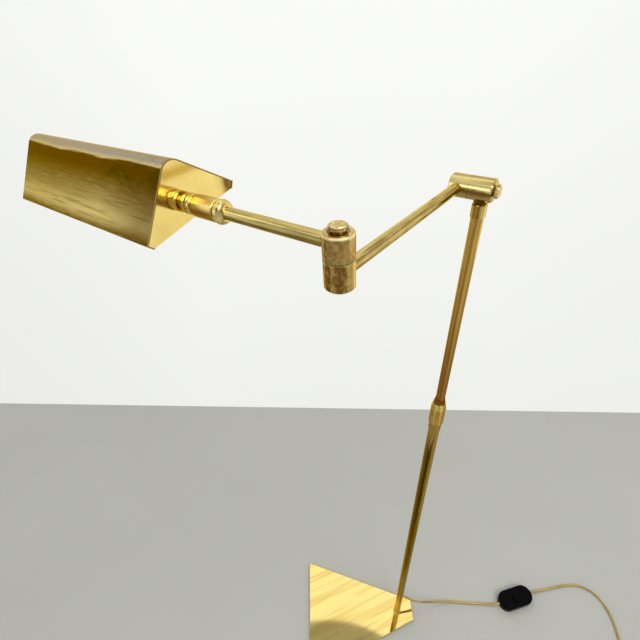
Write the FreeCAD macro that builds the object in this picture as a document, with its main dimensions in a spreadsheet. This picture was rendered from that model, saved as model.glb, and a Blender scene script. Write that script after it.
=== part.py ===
import FreeCAD, Part
import math
import os

import Sketcher

# A brass reading floor lamp: a heavy wedge-shaped foot, a telescoping pole, two arms
# joined by barrel joints, and a tent-shaped shade on a turned swivel.
# Units are millimetres and degrees. The origin is on the floor under the pole's axis,
# +Z is up, and -X points to the wide end of the foot.

DRIVING_SIZES = [
    # foot
    ("plate_length", 288, "foot, from wide end to narrow end"),
    ("plate_narrow", 46, "foot, width at the narrow end"),
    ("plate_wide", 262, "foot, width at the wide end"),
    ("plate_overhang", 42, "foot, from the pole's axis to the narrow end"),
    ("plate_thick", 9, "foot, thickness of the brass plate"),
    ("plate_corner", 2.5, "foot, radius of its four corners"),
    ("plate_chamfer", 0.6, "foot, chamfer round the upper face"),
    ("felt_thick", 1.5, "felt under the foot"),
    ("felt_inset", 3, "felt, set in from the plate's edge"),
    ("stud_dia", 10, "stud that holds the pole to the foot"),
    ("recess_dia", 25, "recess for the nut under the foot"),
    ("recess_depth", 5.5, "recess, depth"),
    ("washer_thick", 1.2, "washer under the nut"),
    ("nut_thick", 3.6, "nut on the stud"),
    ("nut_flats", 17, "nut on the stud, across its flats"),
    ("foot_ring_dia", 20.5, "ring round the pole's foot"),
    ("foot_ring_height", 4.5, "ring round the pole's foot, height"),
    ("foot_plug_height", 18, "plug inside the pole's foot"),
    # pole
    ("hinge_height", 1200.2, "floor to the axis of the upper joint"),
    ("lower_dia", 16, "lower tube of the pole"),
    ("upper_dia", 12, "upper tube of the pole"),
    ("tube_wall", 1, "wall of every tube"),
    ("lower_length", 862, "lower tube, length"),
    ("upper_length", 685, "upper tube, length"),
    ("guide_length", 22, "guide bush at the upper tube's lower end"),
    ("guide_lip", 3, "guide bush, thickness of its lip"),
    ("sleeve_dia", 17.6, "threaded sleeve on the lower tube"),
    ("sleeve_below", 20.5, "sleeve, part below the tube's upper end"),
    ("sleeve_above", 13.5, "sleeve, part above the tube's upper end"),
    ("nut_dia", 20.4, "clamp nut"),
    ("nut_height", 40.5, "clamp nut, height"),
    ("nut_bevel", 10, "clamp nut, height of its bevel"),
    ("nut_drop", 4.5, "clamp nut, below the tube's upper end"),
    ("collet_dia", 14.8, "collet where it comes out of the nut"),
    ("collet_tip_dia", 13, "collet, its upper edge"),
    ("collet_show", 8, "collet, height above the nut"),
    ("ferrule_dia", 14, "ferrule at the top of the pole"),
    ("ferrule_length", 13.6, "ferrule, length"),
    ("ferrule_cap", 3, "ferrule, part above the upper tube"),
    ("neck_dia", 12.6, "neck under the upper joint"),
    ("neck_height", 1.5, "neck, height that shows"),
    ("nipple_dia", 8, "threaded end of the neck"),
    ("wire_hole_dia", 4.4, "way for the wires"),
    # cord outlet in the pole
    ("outlet_height", 105.5, "floor to the cord's way out of the pole"),
    ("outlet_azimuth", 45, "side of the pole where the cord comes out"),
    ("outlet_drop", 55, "slope of the outlet below level"),
    ("bush_length", 10, "outlet bush, length outside the pole"),
    # barrel joints
    ("barrel_dia", 21.2, "each half of a barrel joint"),
    ("barrel_long", 21, "barrel joint, length of the half on the pole or on arm 1's far end"),
    ("hinge_short", 18.4, "upper joint, length of the half that carries arm 1"),
    ("elbow_short", 17.6, "elbow, length of the half that carries arm 2"),
    ("hinge_post_seat", 10.6, "upper joint, from the pole's axis to the joint face"),
    ("hinge_arm_seat", 10.5, "upper joint, from the joint face to arm 1's axis"),
    ("elbow_arm_1_seat", 11.2, "elbow, from arm 1's axis to the joint face"),
    ("elbow_arm_2_seat", 9.4, "elbow, from the joint face to arm 2's axis"),
    ("barrel_wall", 2.6, "barrel joint, wall"),
    ("barrel_end", 5, "barrel joint, thickness of its closed end"),
    ("barrel_chamfer", 1.2, "barrel joint, chamfer of its outer end"),
    ("joint_washer", 0.4, "friction washer between two halves"),
    ("head_dia", 11.8, "screw head of a barrel joint"),
    ("head_height", 3.4, "screw head, height"),
    ("spring_washer_dia", 9, "spring washer under a screw head"),
    ("spring_washer", 1, "spring washer, thickness"),
    ("pivot_dia", 6, "pivot screw of a barrel joint"),
    ("hinge_azimuth", -40.2, "way that the upper joint's screw head points"),
    ("elbow_angle", 92.8, "turn from arm 1 to arm 2"),
    # arms
    ("arm_dia", 10, "tube of both arms"),
    ("arm_reach", 188, "arm 1, from axis to axis"),
    ("shade_reach", 144, "elbow axis to the shade's near end plate"),
    ("wire_dia", 3.2, "two-core wire inside the arms"),
    # swivel
    ("cup_length", 1.6, "cup on the end of arm 2"),
    ("bead_length", 7.5, "bead next to the cup"),
    ("bead_dia", 18.6, "bead, at its middle"),
    ("swivel_length", 22.9, "swivel barrel"),
    ("swivel_dia", 17.6, "swivel barrel, diameter"),
    ("swivel_wall", 1.8, "swivel barrel, wall"),
    ("flange_length", 15, "flange against the shade"),
    ("flange_dia", 16.4, "flange, diameter"),
    ("spindle_dia", 7.9, "spindle of the swivel"),
    # shade
    ("shade_length", 220, "shade, length"),
    ("shade_sheet", 1, "shade, thickness of its sheet"),
    ("shade_apex", 39, "swivel axis to the ridge if it were sharp"),
    ("shade_ridge", 11.5, "shade, outer radius of its ridge"),
    ("shade_lip_drop", 9.1, "swivel axis down to the folded lip"),
    ("shade_lip", 4.8, "folded lip, height"),
    ("shade_lip_in", 3.4, "folded lip, how far it turns in"),
    ("shade_offset", 1, "shade, from its middle plane to the swivel axis"),
    ("shade_roll", -13.1, "turn of the shade about arm 2"),
    ("end_plate", 1.2, "end plates of the shade"),
    ("end_inset", 0.6, "end plates, set in from the shade's end"),
    ("lock_nut_flats", 14, "nut inside the shade"),
    ("lock_nut_thick", 4, "nut inside the shade, thickness"),
    ("tail_dia", 9.8, "threaded tail through the end plate"),
    ("socket_dia", 25, "lamp socket"),
    ("socket_length", 34, "lamp socket, length"),
    ("socket_bore_dia", 14.6, "lamp socket, mouth"),
    ("bulb_cap_dia", 13.8, "screw cap of the bulb"),
    ("bulb_dia", 25, "tubular bulb"),
    ("bulb_length", 110, "tubular bulb, whole length"),
    # cord
    ("cord_dia", 5.5, "mains cord"),
    ("coil_mid_dia", 66, "coil of spare cord, across the middle of its turns"),
    ("coil_gap", 0.5, "coil, gap between its turns"),
    ("tie_thick", 0.8, "tie round the coil"),
    ("tie_width", 7, "tie round the coil, width"),
    # foot switch
    ("switch_length", 97, "foot switch"),
    ("switch_width", 47, "foot switch, width"),
    ("switch_split", 8.2, "foot switch, floor to the joint of its shells"),
    ("switch_height", 21, "foot switch, floor to the top of its cover"),
    ("switch_wall", 2, "foot switch, wall"),
    ("switch_round", 6, "foot switch, rounded upper edge"),
    ("switch_azimuth", 12.5, "foot switch, turn on the floor"),
    ("button_dia", 22, "foot switch, button"),
    ("button_stand", 4, "foot switch, height of the button above the cover"),
    # plug
    ("plug_length", 35, "plug"),
    ("plug_width", 26, "plug, width at its face"),
    ("plug_thick", 13.6, "plug, thickness"),
    ("pin_dia", 4, "plug pins"),
    ("pin_length", 19, "plug pins, length"),
    ("pin_spacing", 19, "plug pins, between centres"),
    # clearances
    ("running_gap", 0.05, "radial clearance of a part that turns or slides"),
    ("seat_gap", 0.02, "clearance of a part that is fixed in place"),
    ("free_gap", 0.3, "clearance between moving neighbours"),
]

doc = FreeCAD.newDocument("reading_lamp")
sheet = doc.addObject("Spreadsheet::Sheet", "sizes")
for row, (alias, number, note) in enumerate(DRIVING_SIZES, start=1):
    sheet.set("A%d" % row, note)
    sheet.set("B%d" % row, str(number))
    sheet.setAlias("B%d" % row, alias)
doc.recompute()


class Size:
    """A length or angle with the sheet formula that gives it."""

    def __init__(self, value, text):
        self.value = float(value)
        self.text = text

    def __add__(self, other):
        other = as_size(other)
        return Size(self.value + other.value, "(%s + %s)" % (self.text, other.text))

    def __sub__(self, other):
        other = as_size(other)
        return Size(self.value - other.value, "(%s - %s)" % (self.text, other.text))

    def __mul__(self, factor):
        return Size(self.value * factor, "(%s * %g)" % (self.text, factor))

    def __truediv__(self, factor):
        return Size(self.value / factor, "(%s / %g)" % (self.text, factor))

    def __neg__(self):
        return Size(-self.value, "(0 - %s)" % self.text)

    def __float__(self):
        return self.value


def as_size(number):
    if isinstance(number, Size):
        return number
    return Size(number, "%g" % number)


def size(alias):
    return Size(sheet.get(alias), "sizes." + alias)


VECTOR = FreeCAD.Vector
UP = VECTOR(0, 0, 1)
ORIGIN = VECTOR(0, 0, 0)
ROOT_2 = math.sqrt(2)
pieces = []


def placed(base, x_axis=None, z_axis=None):
    """A placement at base, with the local X and Z axes along the given directions."""
    if z_axis is None:
        return FreeCAD.Placement(base, FreeCAD.Rotation())
    if x_axis is None:
        return FreeCAD.Placement(base, FreeCAD.Rotation(UP, z_axis))
    return FreeCAD.Placement(base, FreeCAD.Rotation(x_axis, z_axis.cross(x_axis), z_axis, "ZXY"))


def direction(azimuth, rise=0.0):
    """A unit vector from its azimuth and its rise above level, in degrees."""
    flat = math.cos(math.radians(rise))
    return VECTOR(
        flat * math.cos(math.radians(azimuth)),
        flat * math.sin(math.radians(azimuth)),
        math.sin(math.radians(rise)),
    )


# Sketches: a closed outline is a list of corners (x, y), or (x, y, r) where an arc of
# radius r reaches the corner, with its centre on the left of the way for a positive r.


def arc_centre(start, end, radius):
    middle = (start + end) / 2
    half = (end - start) / 2
    height = math.sqrt(max(radius * radius - half.dot(half), 0.0))
    left = VECTOR(-half.y, half.x, 0).normalize()
    return middle + left * (height if radius > 0 else -height)


def add_edge(sketch, start, end, radius):
    """Adds a line, or an arc where radius isn't None. Returns its number and its ends."""
    if radius is None:
        return sketch.addGeometry(Part.LineSegment(start, end), False), 1, 2
    centre = arc_centre(start, end, float(radius))
    circle = Part.Circle(centre, UP, abs(float(radius)))
    turn_start = math.atan2(start.y - centre.y, start.x - centre.x)
    turn_end = math.atan2(end.y - centre.y, end.x - centre.x)
    if float(radius) > 0:
        return sketch.addGeometry(Part.ArcOfCircle(circle, turn_start, turn_end), False), 1, 2
    return sketch.addGeometry(Part.ArcOfCircle(circle, turn_end, turn_start), False), 2, 1


def bind(sketch, constraint, formula):
    number = sketch.addConstraint(constraint)
    sketch.setExpression("Constraints[%d]" % number, formula)


def fix_coordinate(sketch, kind, axis, edge, corner, length):
    """Holds one coordinate of a corner at a length that comes from the sheet."""
    if length.value == 0 and "sizes" not in length.text:
        sketch.addConstraint(Sketcher.Constraint("PointOnObject", edge, corner, axis))
    elif length.value >= 0:
        bind(sketch, Sketcher.Constraint(kind, -1, 1, edge, corner, length.value), length.text)
    else:
        turned_round = -length
        bind(
            sketch,
            Sketcher.Constraint(kind, edge, corner, -1, 1, turned_round.value),
            turned_round.text,
        )


def bind_arc(sketch, edge, radius, chord):
    """Holds an arc's radius, or its centre on the chord where it is a half circle."""
    radius = radius if radius.value > 0 else -radius
    if abs(2 * radius.value - chord) < 1e-6:
        sketch.addConstraint(Sketcher.Constraint("Symmetric", edge, 1, edge, 2, edge, 3))
    else:
        bind(sketch, Sketcher.Constraint("Radius", edge, radius.value), radius.text)


def draw_outline(sketch, corners):
    """Draws one closed outline, every corner of it bound to the sheet."""
    steps = [
        (as_size(c[0]), as_size(c[1]), as_size(c[2]) if len(c) > 2 else None) for c in corners
    ]
    points = [VECTOR(x.value, y.value, 0) for x, y, radius in steps]
    edges = []
    for index, (x, y, radius) in enumerate(steps):
        edges.append(add_edge(sketch, points[index - 1], points[index], radius))
    for index, (x, y, radius) in enumerate(steps):
        edge, first, last = edges[index]
        following, next_first, next_last = edges[(index + 1) % len(edges)]
        sketch.addConstraint(
            Sketcher.Constraint("Coincident", edge, last, following, next_first)
        )
        fix_coordinate(sketch, "DistanceX", -2, edge, last, x)
        fix_coordinate(sketch, "DistanceY", -1, edge, last, y)
        if radius is not None:
            bind_arc(sketch, edge, radius, (points[index] - points[index - 1]).Length)


def draw_circle(sketch, x, y, radius):
    x, y, radius = as_size(x), as_size(y), as_size(radius)
    circle = Part.Circle(VECTOR(x.value, y.value, 0), UP, radius.value)
    edge = sketch.addGeometry(circle, False)
    fix_coordinate(sketch, "DistanceX", -2, edge, 3, x)
    fix_coordinate(sketch, "DistanceY", -1, edge, 3, y)
    bind(sketch, Sketcher.Constraint("Radius", edge, radius.value), radius.text)


def new_body(label, placement=None):
    body = doc.addObject("PartDesign::Body", label)
    body.Label = label
    if placement is not None:
        body.Placement = placement
    pieces.append(body)
    return body


def new_sketch(body, plane="XY_Plane", offset=None):
    """A sketch on one of the body's own origin planes, raised along its normal."""
    sketch = body.newObject("Sketcher::SketchObject", body.Label + "_sketch")
    for feature in body.Origin.OriginFeatures:
        if feature.Role == plane:
            sketch.AttachmentSupport = [(feature, "")]
    sketch.MapMode = "FlatFace"
    if offset is not None:
        offset = as_size(offset)
        sketch.AttachmentOffset = FreeCAD.Placement(VECTOR(0, 0, offset.value), FreeCAD.Rotation())
        sketch.setExpression(".AttachmentOffset.Base.z", offset.text)
    return sketch


def revolve(body, corners):
    """Adds a solid of revolution about the body's Z axis, from corners (radius, height)."""
    sketch = new_sketch(body, "XZ_Plane")
    draw_outline(sketch, corners)
    feature = body.newObject("PartDesign::Revolution", body.Label + "_turned")
    feature.Profile = sketch
    feature.ReferenceAxis = (sketch, ["V_Axis"])
    feature.Angle = 360
    return feature


def pad(body, draw, height, offset=None, plane="XY_Plane"):
    sketch = new_sketch(body, plane, offset)
    draw(sketch)
    feature = body.newObject("PartDesign::Pad", body.Label + "_pad")
    feature.Profile = sketch
    feature.Length = float(height)
    feature.setExpression("Length", as_size(height).text)
    return feature


def pocket(body, draw, depth, offset=None, plane="XY_Plane", along_normal=False):
    """Cuts a pocket, and stops the script if it removes nothing."""
    doc.recompute()
    before = body.Tip.Shape.Volume
    sketch = new_sketch(body, plane, offset)
    draw(sketch)
    feature = body.newObject("PartDesign::Pocket", body.Label + "_pocket")
    feature.Profile = sketch
    feature.Length = float(depth)
    feature.setExpression("Length", as_size(depth).text)
    feature.Reversed = along_normal
    doc.recompute()
    if feature.Shape.Volume > before - 1e-6:
        raise RuntimeError("a pocket of %s cuts nothing" % body.Label)
    return feature


def edge_names(feature, test):
    """Names of the feature's edges whose ends pass the test."""
    doc.recompute()
    names = []
    for number, edge in enumerate(feature.Shape.Edges, start=1):
        if all(test(vertex.Point) for vertex in edge.Vertexes):
            names.append("Edge%d" % number)
    return names


def soften(body, kind, feature, names, length):
    """Adds a Fillet or a Chamfer of one size to the named edges of a feature."""
    softened = body.newObject("PartDesign::" + kind, "%s_%s" % (body.Label, kind.lower()))
    softened.Base = (feature, names)
    setting = "Radius" if kind == "Fillet" else "Size"
    setattr(softened, setting, float(length))
    softened.setExpression(setting, as_size(length).text)
    return softened


def turned(label, corners, placement=None):
    body = new_body(label, placement)
    revolve(body, corners)
    return body


def ring(label, inner, outer, bottom, top, placement=None):
    """A plain ring or tube between two heights on its own Z axis."""
    corners = [(inner, bottom), (outer, bottom), (outer, top), (inner, top)]
    return turned(label, corners, placement)


def hexagon(flats):
    """Corners of a hexagon across its flats, as sizes."""
    half = flats / 2
    corner = half * (2 / math.sqrt(3))
    side = corner / 2
    return [
        (corner, 0), (side, half), (-side, half), (-corner, 0), (-side, -half), (side, -half),
    ]


def hex_nut(label, flats, bore_radius, bottom, thickness, placement=None):
    body = new_body(label, placement)
    pad(body, lambda s: draw_outline(s, hexagon(flats)), thickness, bottom)
    pocket(
        body, lambda s: draw_circle(s, 0, 0, bore_radius), thickness, bottom, along_normal=True
    )
    return body


# Heights and radii that several pieces share.

plate_top = size("felt_thick") + size("plate_thick")
lower_radius = size("lower_dia") / 2
lower_bore = lower_radius - size("tube_wall")
lower_top = plate_top + size("lower_length")
upper_radius = size("upper_dia") / 2
upper_bore = upper_radius - size("tube_wall")
barrel_radius = size("barrel_dia") / 2
barrel_bore = barrel_radius - size("barrel_wall")
ferrule_top = size("hinge_height") - barrel_radius - size("neck_height")
upper_top = ferrule_top - size("ferrule_cap")
upper_bottom = upper_top - size("upper_length")
arm_radius = size("arm_dia") / 2
arm_bore = arm_radius - size("tube_wall")
running = size("running_gap")
seat = size("seat_gap")
free = size("free_gap")


# Foot.


def foot_outline(inset):
    """The wedge seen from above, set in all round by about the same amount."""
    right = size("plate_overhang") - inset
    left = size("plate_overhang") - size("plate_length") + inset
    narrow = size("plate_narrow") / 2 - inset
    wide = size("plate_wide") / 2 - inset * 1.4
    return [(right, narrow), (left, wide), (left, -wide), (right, -narrow)]


def make_foot():
    body = new_body("base_plate")
    slab = pad(
        body,
        lambda s: draw_outline(s, foot_outline(as_size(0))),
        size("plate_thick"),
        size("felt_thick"),
    )
    upright = []
    doc.recompute()
    for number, edge in enumerate(slab.Shape.Edges, start=1):
        if abs(edge.tangentAt(edge.FirstParameter).z) > 0.9:
            upright.append("Edge%d" % number)
    rounded = soften(body, "Fillet", slab, upright, size("plate_corner"))
    rim = edge_names(rounded, lambda p: p.z > plate_top.value - 0.01)
    soften(body, "Chamfer", rounded, rim, size("plate_chamfer"))
    pocket(
        body,
        lambda s: draw_circle(s, 0, 0, size("recess_dia") / 2),
        size("recess_depth"),
        size("felt_thick"),
        along_normal=True,
    )
    pocket(
        body,
        lambda s: draw_circle(s, 0, 0, size("stud_dia") / 2 + seat),
        size("plate_thick"),
        size("felt_thick"),
        along_normal=True,
    )
    felt = new_body("felt_pad")
    pad(felt, lambda s: draw_outline(s, foot_outline(size("felt_inset"))), size("felt_thick"))


def make_foot_fixing():
    recess_top = size("felt_thick") + size("recess_depth")
    washer_bottom = recess_top - size("washer_thick")
    stud_radius = size("stud_dia") / 2
    stud_bottom = washer_bottom - size("nut_thick")
    plug_radius = lower_bore - seat
    ring("base_washer", stud_radius + seat, size("recess_dia") / 2 - free, washer_bottom, recess_top)
    hex_nut("base_nut", size("nut_flats"), stud_radius + seat, stud_bottom, size("nut_thick"))
    turned("foot_plug", [
        (0, stud_bottom), (stud_radius, stud_bottom), (stud_radius, plate_top),
        (plug_radius, plate_top), (plug_radius, plate_top + size("foot_plug_height")),
        (0, plate_top + size("foot_plug_height")),
    ])
    ring_radius = size("foot_ring_dia") / 2
    ring_top = plate_top + size("foot_ring_height")
    bevel = size("foot_ring_height") / 3
    turned("foot_ring", [
        (lower_radius + seat, plate_top), (ring_radius, plate_top),
        (ring_radius, ring_top - bevel), (ring_radius - bevel, ring_top),
        (lower_radius + seat, ring_top),
    ])


# Pole.


def outlet_placement():
    """Local Z runs out of the pole along the cord, from the middle of the pole's wall."""
    outwards = direction(float(size("outlet_azimuth")))
    base = outwards * (lower_radius.value - 0.5 * float(size("tube_wall")))
    base.z = float(size("outlet_height"))
    slope = direction(float(size("outlet_azimuth")), -float(size("outlet_drop")))
    return placed(base, None, slope)


def bound_piece(kind, name, settings, placement=None):
    """A Part primitive whose sizes are bound to the sheet."""
    feature = doc.addObject("Part::" + kind, name)
    for setting, length in settings.items():
        setattr(feature, setting, float(length))
        feature.setExpression(setting, as_size(length).text)
    if placement is not None:
        feature.Placement = placement
    return feature


def combined(kind, label, base, tool, keep=True):
    feature = doc.addObject("Part::" + kind, label)
    feature.Base = base
    feature.Tool = tool
    if keep:
        feature.Label = label
        pieces.append(feature)
    return feature


def make_lower_tube():
    outside = bound_piece("Cylinder", "lower_outside", {
        "Radius": lower_radius, "Height": size("lower_length"),
    }, placed(VECTOR(0, 0, plate_top.value)))
    inside = bound_piece("Cylinder", "lower_inside", {
        "Radius": lower_bore, "Height": size("lower_length"),
    }, placed(VECTOR(0, 0, plate_top.value)))
    for cylinder in (outside, inside):
        cylinder.setExpression(".Placement.Base.z", plate_top.text)
    tube = combined("Cut", "lower_plain_tube", outside, inside, keep=False)
    hole = bound_piece("Cylinder", "lower_outlet_hole", {
        "Radius": bush_neck_radius() + seat, "Height": lower_radius * 2,
    }, outlet_placement().multiply(placed(VECTOR(0, 0, -lower_radius.value))))
    combined("Cut", "lower_tube", tube, hole)


def bush_neck_radius():
    return size("cord_dia") / 2 + size("tube_wall") * 0.6


def make_outlet_bush():
    """A short tapered bush that carries the cord through the pole's wall."""
    neck = bush_neck_radius()
    inner = size("tube_wall") * 2
    tip = size("cord_dia") / 2 + size("tube_wall") * 0.25
    turned("cord_bush", [
        (0, -inner), (neck, -inner), (neck, size("bush_length") * 0.6),
        (tip, size("bush_length")), (0, size("bush_length")),
    ], outlet_placement())


def make_clamp():
    """Sleeve, collet and clamp nut, which hold the upper tube at its height."""
    sleeve_radius = size("sleeve_dia") / 2
    sleeve_top = lower_top + size("sleeve_above")
    ring_chamfer = size("tube_wall") * 0.6
    turned("collar_sleeve", [
        (lower_radius + seat, lower_top - size("sleeve_below")),
        (sleeve_radius - ring_chamfer, lower_top - size("sleeve_below")),
        (sleeve_radius, lower_top - size("sleeve_below") + ring_chamfer),
        (sleeve_radius, sleeve_top), (upper_radius + free * 2, sleeve_top),
        (upper_radius + free * 2, lower_top), (lower_radius + seat, lower_top),
    ])
    nut_radius = size("nut_dia") / 2
    nut_bottom = lower_top - size("nut_drop")
    nut_top = nut_bottom + size("nut_height")
    shoulder = nut_top - size("nut_bevel")
    mouth = size("collet_dia") / 2 + free
    thread = sleeve_radius + running
    turned("clamp_nut", [
        (thread, nut_bottom), (nut_radius - ring_chamfer, nut_bottom),
        (nut_radius, nut_bottom + ring_chamfer), (nut_radius, shoulder),
        (mouth + size("tube_wall") * 0.5, nut_top), (mouth, nut_top),
        (mouth, nut_top - size("tube_wall") * 2), (thread, shoulder - size("tube_wall")),
    ])
    collet_radius = size("collet_dia") / 2
    collet_top = nut_top + size("collet_show")
    turned("collet", [
        (upper_radius + running, sleeve_top), (sleeve_radius - free, sleeve_top),
        (sleeve_radius - free, shoulder - size("tube_wall") - free * 2),
        (collet_radius, nut_top - size("tube_wall") * 2 - free),
        (collet_radius, nut_top + size("collet_show") * 0.25),
        (size("collet_tip_dia") / 2, collet_top), (upper_radius + running, collet_top),
    ])


def make_upper_pole():
    ring("upper_tube", upper_bore, upper_radius, upper_bottom, upper_top)
    guide_bottom = upper_bottom - size("guide_lip")
    guide_radius = lower_bore - running
    turned("guide_bush", [
        (upper_bore + free, guide_bottom), (guide_radius, guide_bottom),
        (guide_radius, guide_bottom + size("guide_length")),
        (upper_radius + running, guide_bottom + size("guide_length")),
        (upper_radius + running, upper_bottom - running),
        (upper_bore + free, upper_bottom - running),
    ])
    ferrule_radius = size("ferrule_dia") / 2
    bevel = size("ferrule_length") / 8
    ferrule_bottom = ferrule_top - size("ferrule_length")
    nipple_radius = upper_bore - seat
    turned("pole_ferrule", [
        (upper_radius + seat, ferrule_bottom), (ferrule_radius, ferrule_bottom),
        (ferrule_radius, ferrule_top - bevel), (ferrule_radius - bevel, ferrule_top),
        (nipple_radius + seat, ferrule_top), (nipple_radius + seat, upper_top),
        (upper_radius + seat, upper_top),
    ])
    wire_hole = size("wire_hole_dia") / 2
    neck_radius = size("neck_dia") / 2
    neck_top = neck_seat_height()
    turned("pole_nipple", [
        (wire_hole, upper_top - size("ferrule_length")),
        (nipple_radius, upper_top - size("ferrule_length")),
        (nipple_radius, ferrule_top), (neck_radius, ferrule_top), (neck_radius, neck_top),
        (size("nipple_dia") / 2, neck_top), (size("nipple_dia") / 2, nipple_tip_height()),
        (wire_hole, nipple_tip_height()),
    ])


def neck_seat_height():
    """Flat seat milled into the underside of the upper joint for the neck."""
    return size("hinge_height") - barrel_radius + size("barrel_wall") * 0.75


def nipple_tip_height():
    return size("hinge_height") - barrel_bore + size("barrel_wall") * 0.4


# Barrel joints. Each half is a cup turned about the joint's axis. Its local Z is that
# axis, and local X points the way its arm or the pole leaves.

pivot_radius = size("pivot_dia") / 2
washer = size("joint_washer")
hinge_pitch = size("hinge_post_seat") + washer + size("hinge_arm_seat")
elbow_pitch = size("elbow_arm_1_seat") + washer + size("elbow_arm_2_seat")


def barrel_corners(bottom, end, screw_hole, closed_at_top):
    """Corners of a cup between two heights, closed at one of them."""
    chamfer = size("barrel_chamfer")
    inner = end - size("barrel_end") if closed_at_top else bottom + size("barrel_end")
    if closed_at_top:
        return [
            (barrel_bore, bottom), (barrel_radius, bottom), (barrel_radius, end - chamfer),
            (barrel_radius - chamfer, end), (screw_hole, end), (screw_hole, inner),
            (barrel_bore, inner),
        ]
    return [
        (screw_hole, bottom), (barrel_radius - chamfer, bottom), (barrel_radius, bottom + chamfer),
        (barrel_radius, end), (barrel_bore, end), (barrel_bore, inner), (screw_hole, inner),
    ]


def side_hole(body, height, radius, depth):
    """A hole through the wall of a barrel half, on its local +X side."""
    pocket(
        body,
        lambda s: draw_circle(s, 0, height, radius),
        depth,
        plane="YZ_Plane",
        along_normal=True,
    )


def half_under_head(label, to_joint, length, placement):
    """The half that turns on the screw, its joint face below its tube's axis."""
    corners = barrel_corners(-to_joint, length - to_joint, pivot_radius + running, True)
    return turned(label, corners, placement)


def half_at_tip(label, to_joint, length, placement):
    """The half that the screw threads into, its joint face above its tube's axis."""
    corners = barrel_corners(to_joint - length, to_joint, pivot_radius + seat, False)
    return turned(label, corners, placement)


def joint_fasteners(name, near_seat, near_length, far_length, placement):
    """Screw, spring washer and friction washer. Local Z is the joint's axis and points to
    the screw head, and the origin is on the tube's axis in the half under the head."""
    end = near_length - near_seat
    head_bottom = end + size("spring_washer") + running
    head_top = head_bottom + size("head_height")
    head_radius = size("head_dia") / 2
    edge = size("head_height") / 6
    tip = -near_seat - washer - far_length + size("barrel_end") * 0.2
    turned(name + "_screw", [
        (0, tip), (pivot_radius, tip), (pivot_radius, head_bottom),
        (head_radius - edge, head_bottom), (head_radius, head_bottom + edge),
        (head_radius, head_top - edge), (head_radius - edge, head_top), (0, head_top),
    ], placement)
    ring(
        name + "_spring_washer", pivot_radius + seat, size("spring_washer_dia") / 2,
        end + running, head_bottom, placement,
    )
    ring(
        name + "_friction_washer", barrel_bore, barrel_radius - size("barrel_wall") * 0.15,
        -near_seat - washer, -near_seat - running, placement,
    )


hinge_axis = direction(float(size("hinge_azimuth")))
arm_1_way = direction(float(size("hinge_azimuth")) - 90)
arm_2_azimuth = float(size("hinge_azimuth")) + 90 + float(size("elbow_angle"))
arm_2_way = direction(arm_2_azimuth)
hinge_point = VECTOR(0, 0, float(size("hinge_height")))
arm_1_start = hinge_point - hinge_axis * hinge_pitch.value
elbow_point = arm_1_start + arm_1_way * float(size("arm_reach"))
arm_2_start = elbow_point + UP * elbow_pitch.value


def make_hinge():
    """Upper joint: the half on the pole, and the half that carries arm 1."""
    post_seat = size("hinge_post_seat")
    post_at = placed(hinge_point, -UP, hinge_axis)
    fixed = half_under_head("hinge_post_half", post_seat, size("barrel_long"), post_at)
    pocket(
        fixed,
        lambda s: draw_circle(s, 0, 0, size("neck_dia") / 2 + seat),
        barrel_radius,
        size("hinge_height") - neck_seat_height(),
        plane="YZ_Plane",
        along_normal=True,
    )
    side_hole(fixed, 0, size("nipple_dia") / 2 + seat, barrel_radius)
    arm_at = placed(arm_1_start, arm_1_way, hinge_axis)
    moving = half_at_tip("hinge_arm_half", size("hinge_arm_seat"), size("hinge_short"), arm_at)
    side_hole(moving, 0, arm_radius + seat, barrel_radius + size("tube_wall"))
    joint_fasteners("hinge", post_seat, size("barrel_long"), size("hinge_short"), post_at)


def make_elbow():
    """Elbow: arm 1 enters the lower half and arm 2 the upper half."""
    seat_2 = size("elbow_arm_2_seat")
    upper_at = placed(arm_2_start, arm_2_way, UP)
    upper = half_under_head("elbow_upper_half", seat_2, size("elbow_short"), upper_at)
    side_hole(upper, 0, arm_radius + seat, barrel_radius + size("tube_wall"))
    lower_at = placed(elbow_point, -arm_1_way, UP)
    lower = half_at_tip(
        "elbow_lower_half", size("elbow_arm_1_seat"), size("barrel_long"), lower_at
    )
    side_hole(lower, 0, arm_radius + seat, barrel_radius + size("tube_wall"))
    joint_fasteners("elbow", seat_2, size("elbow_short"), size("barrel_long"), upper_at)


# Arms and swivel, along local Z from the axis of the joint where the arm starts.

cup_end = size("shade_reach") - size("flange_length") - size("swivel_length") - free \
    - size("bead_length")
arm_2_end = cup_end - size("cup_length") / 3
spindle_radius = size("spindle_dia") / 2


def arm_frame(start, way):
    """Local Z along the arm and local X level, across it."""
    return placed(start, UP.cross(way), way)


def make_arms():
    socket_end = barrel_bore + seat
    arm_1_frame = arm_frame(arm_1_start, arm_1_way)
    arm_2_frame = arm_frame(arm_2_start, arm_2_way)
    ring(
        "arm_1_tube", arm_bore, arm_radius, socket_end, size("arm_reach") - socket_end, arm_1_frame
    )
    ring("arm_2_tube", arm_bore, arm_radius, socket_end, arm_2_end, arm_2_frame)
    wire_radius = size("wire_dia") / 2
    rest = -(arm_bore - wire_radius - free)
    wires = (
        ("wire_arm_1", arm_1_frame, socket_end, size("arm_reach") - socket_end * 2),
        ("wire_arm_2", arm_2_frame, socket_end, spindle_start() - socket_end * 2),
    )
    for label, frame, start, length in wires:
        body = new_body(label, frame)
        pad(body, lambda s: draw_circle(s, 0, rest, wire_radius), length, start)
    post = new_body("wire_post")
    pad(
        post,
        lambda s: draw_circle(s, 0, upper_bore - wire_radius - free, wire_radius),
        size("upper_length") - size("ferrule_length") - free,
        upper_bottom,
    )


def spindle_start():
    return arm_2_end - size("barrel_end") * 1.4


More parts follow.
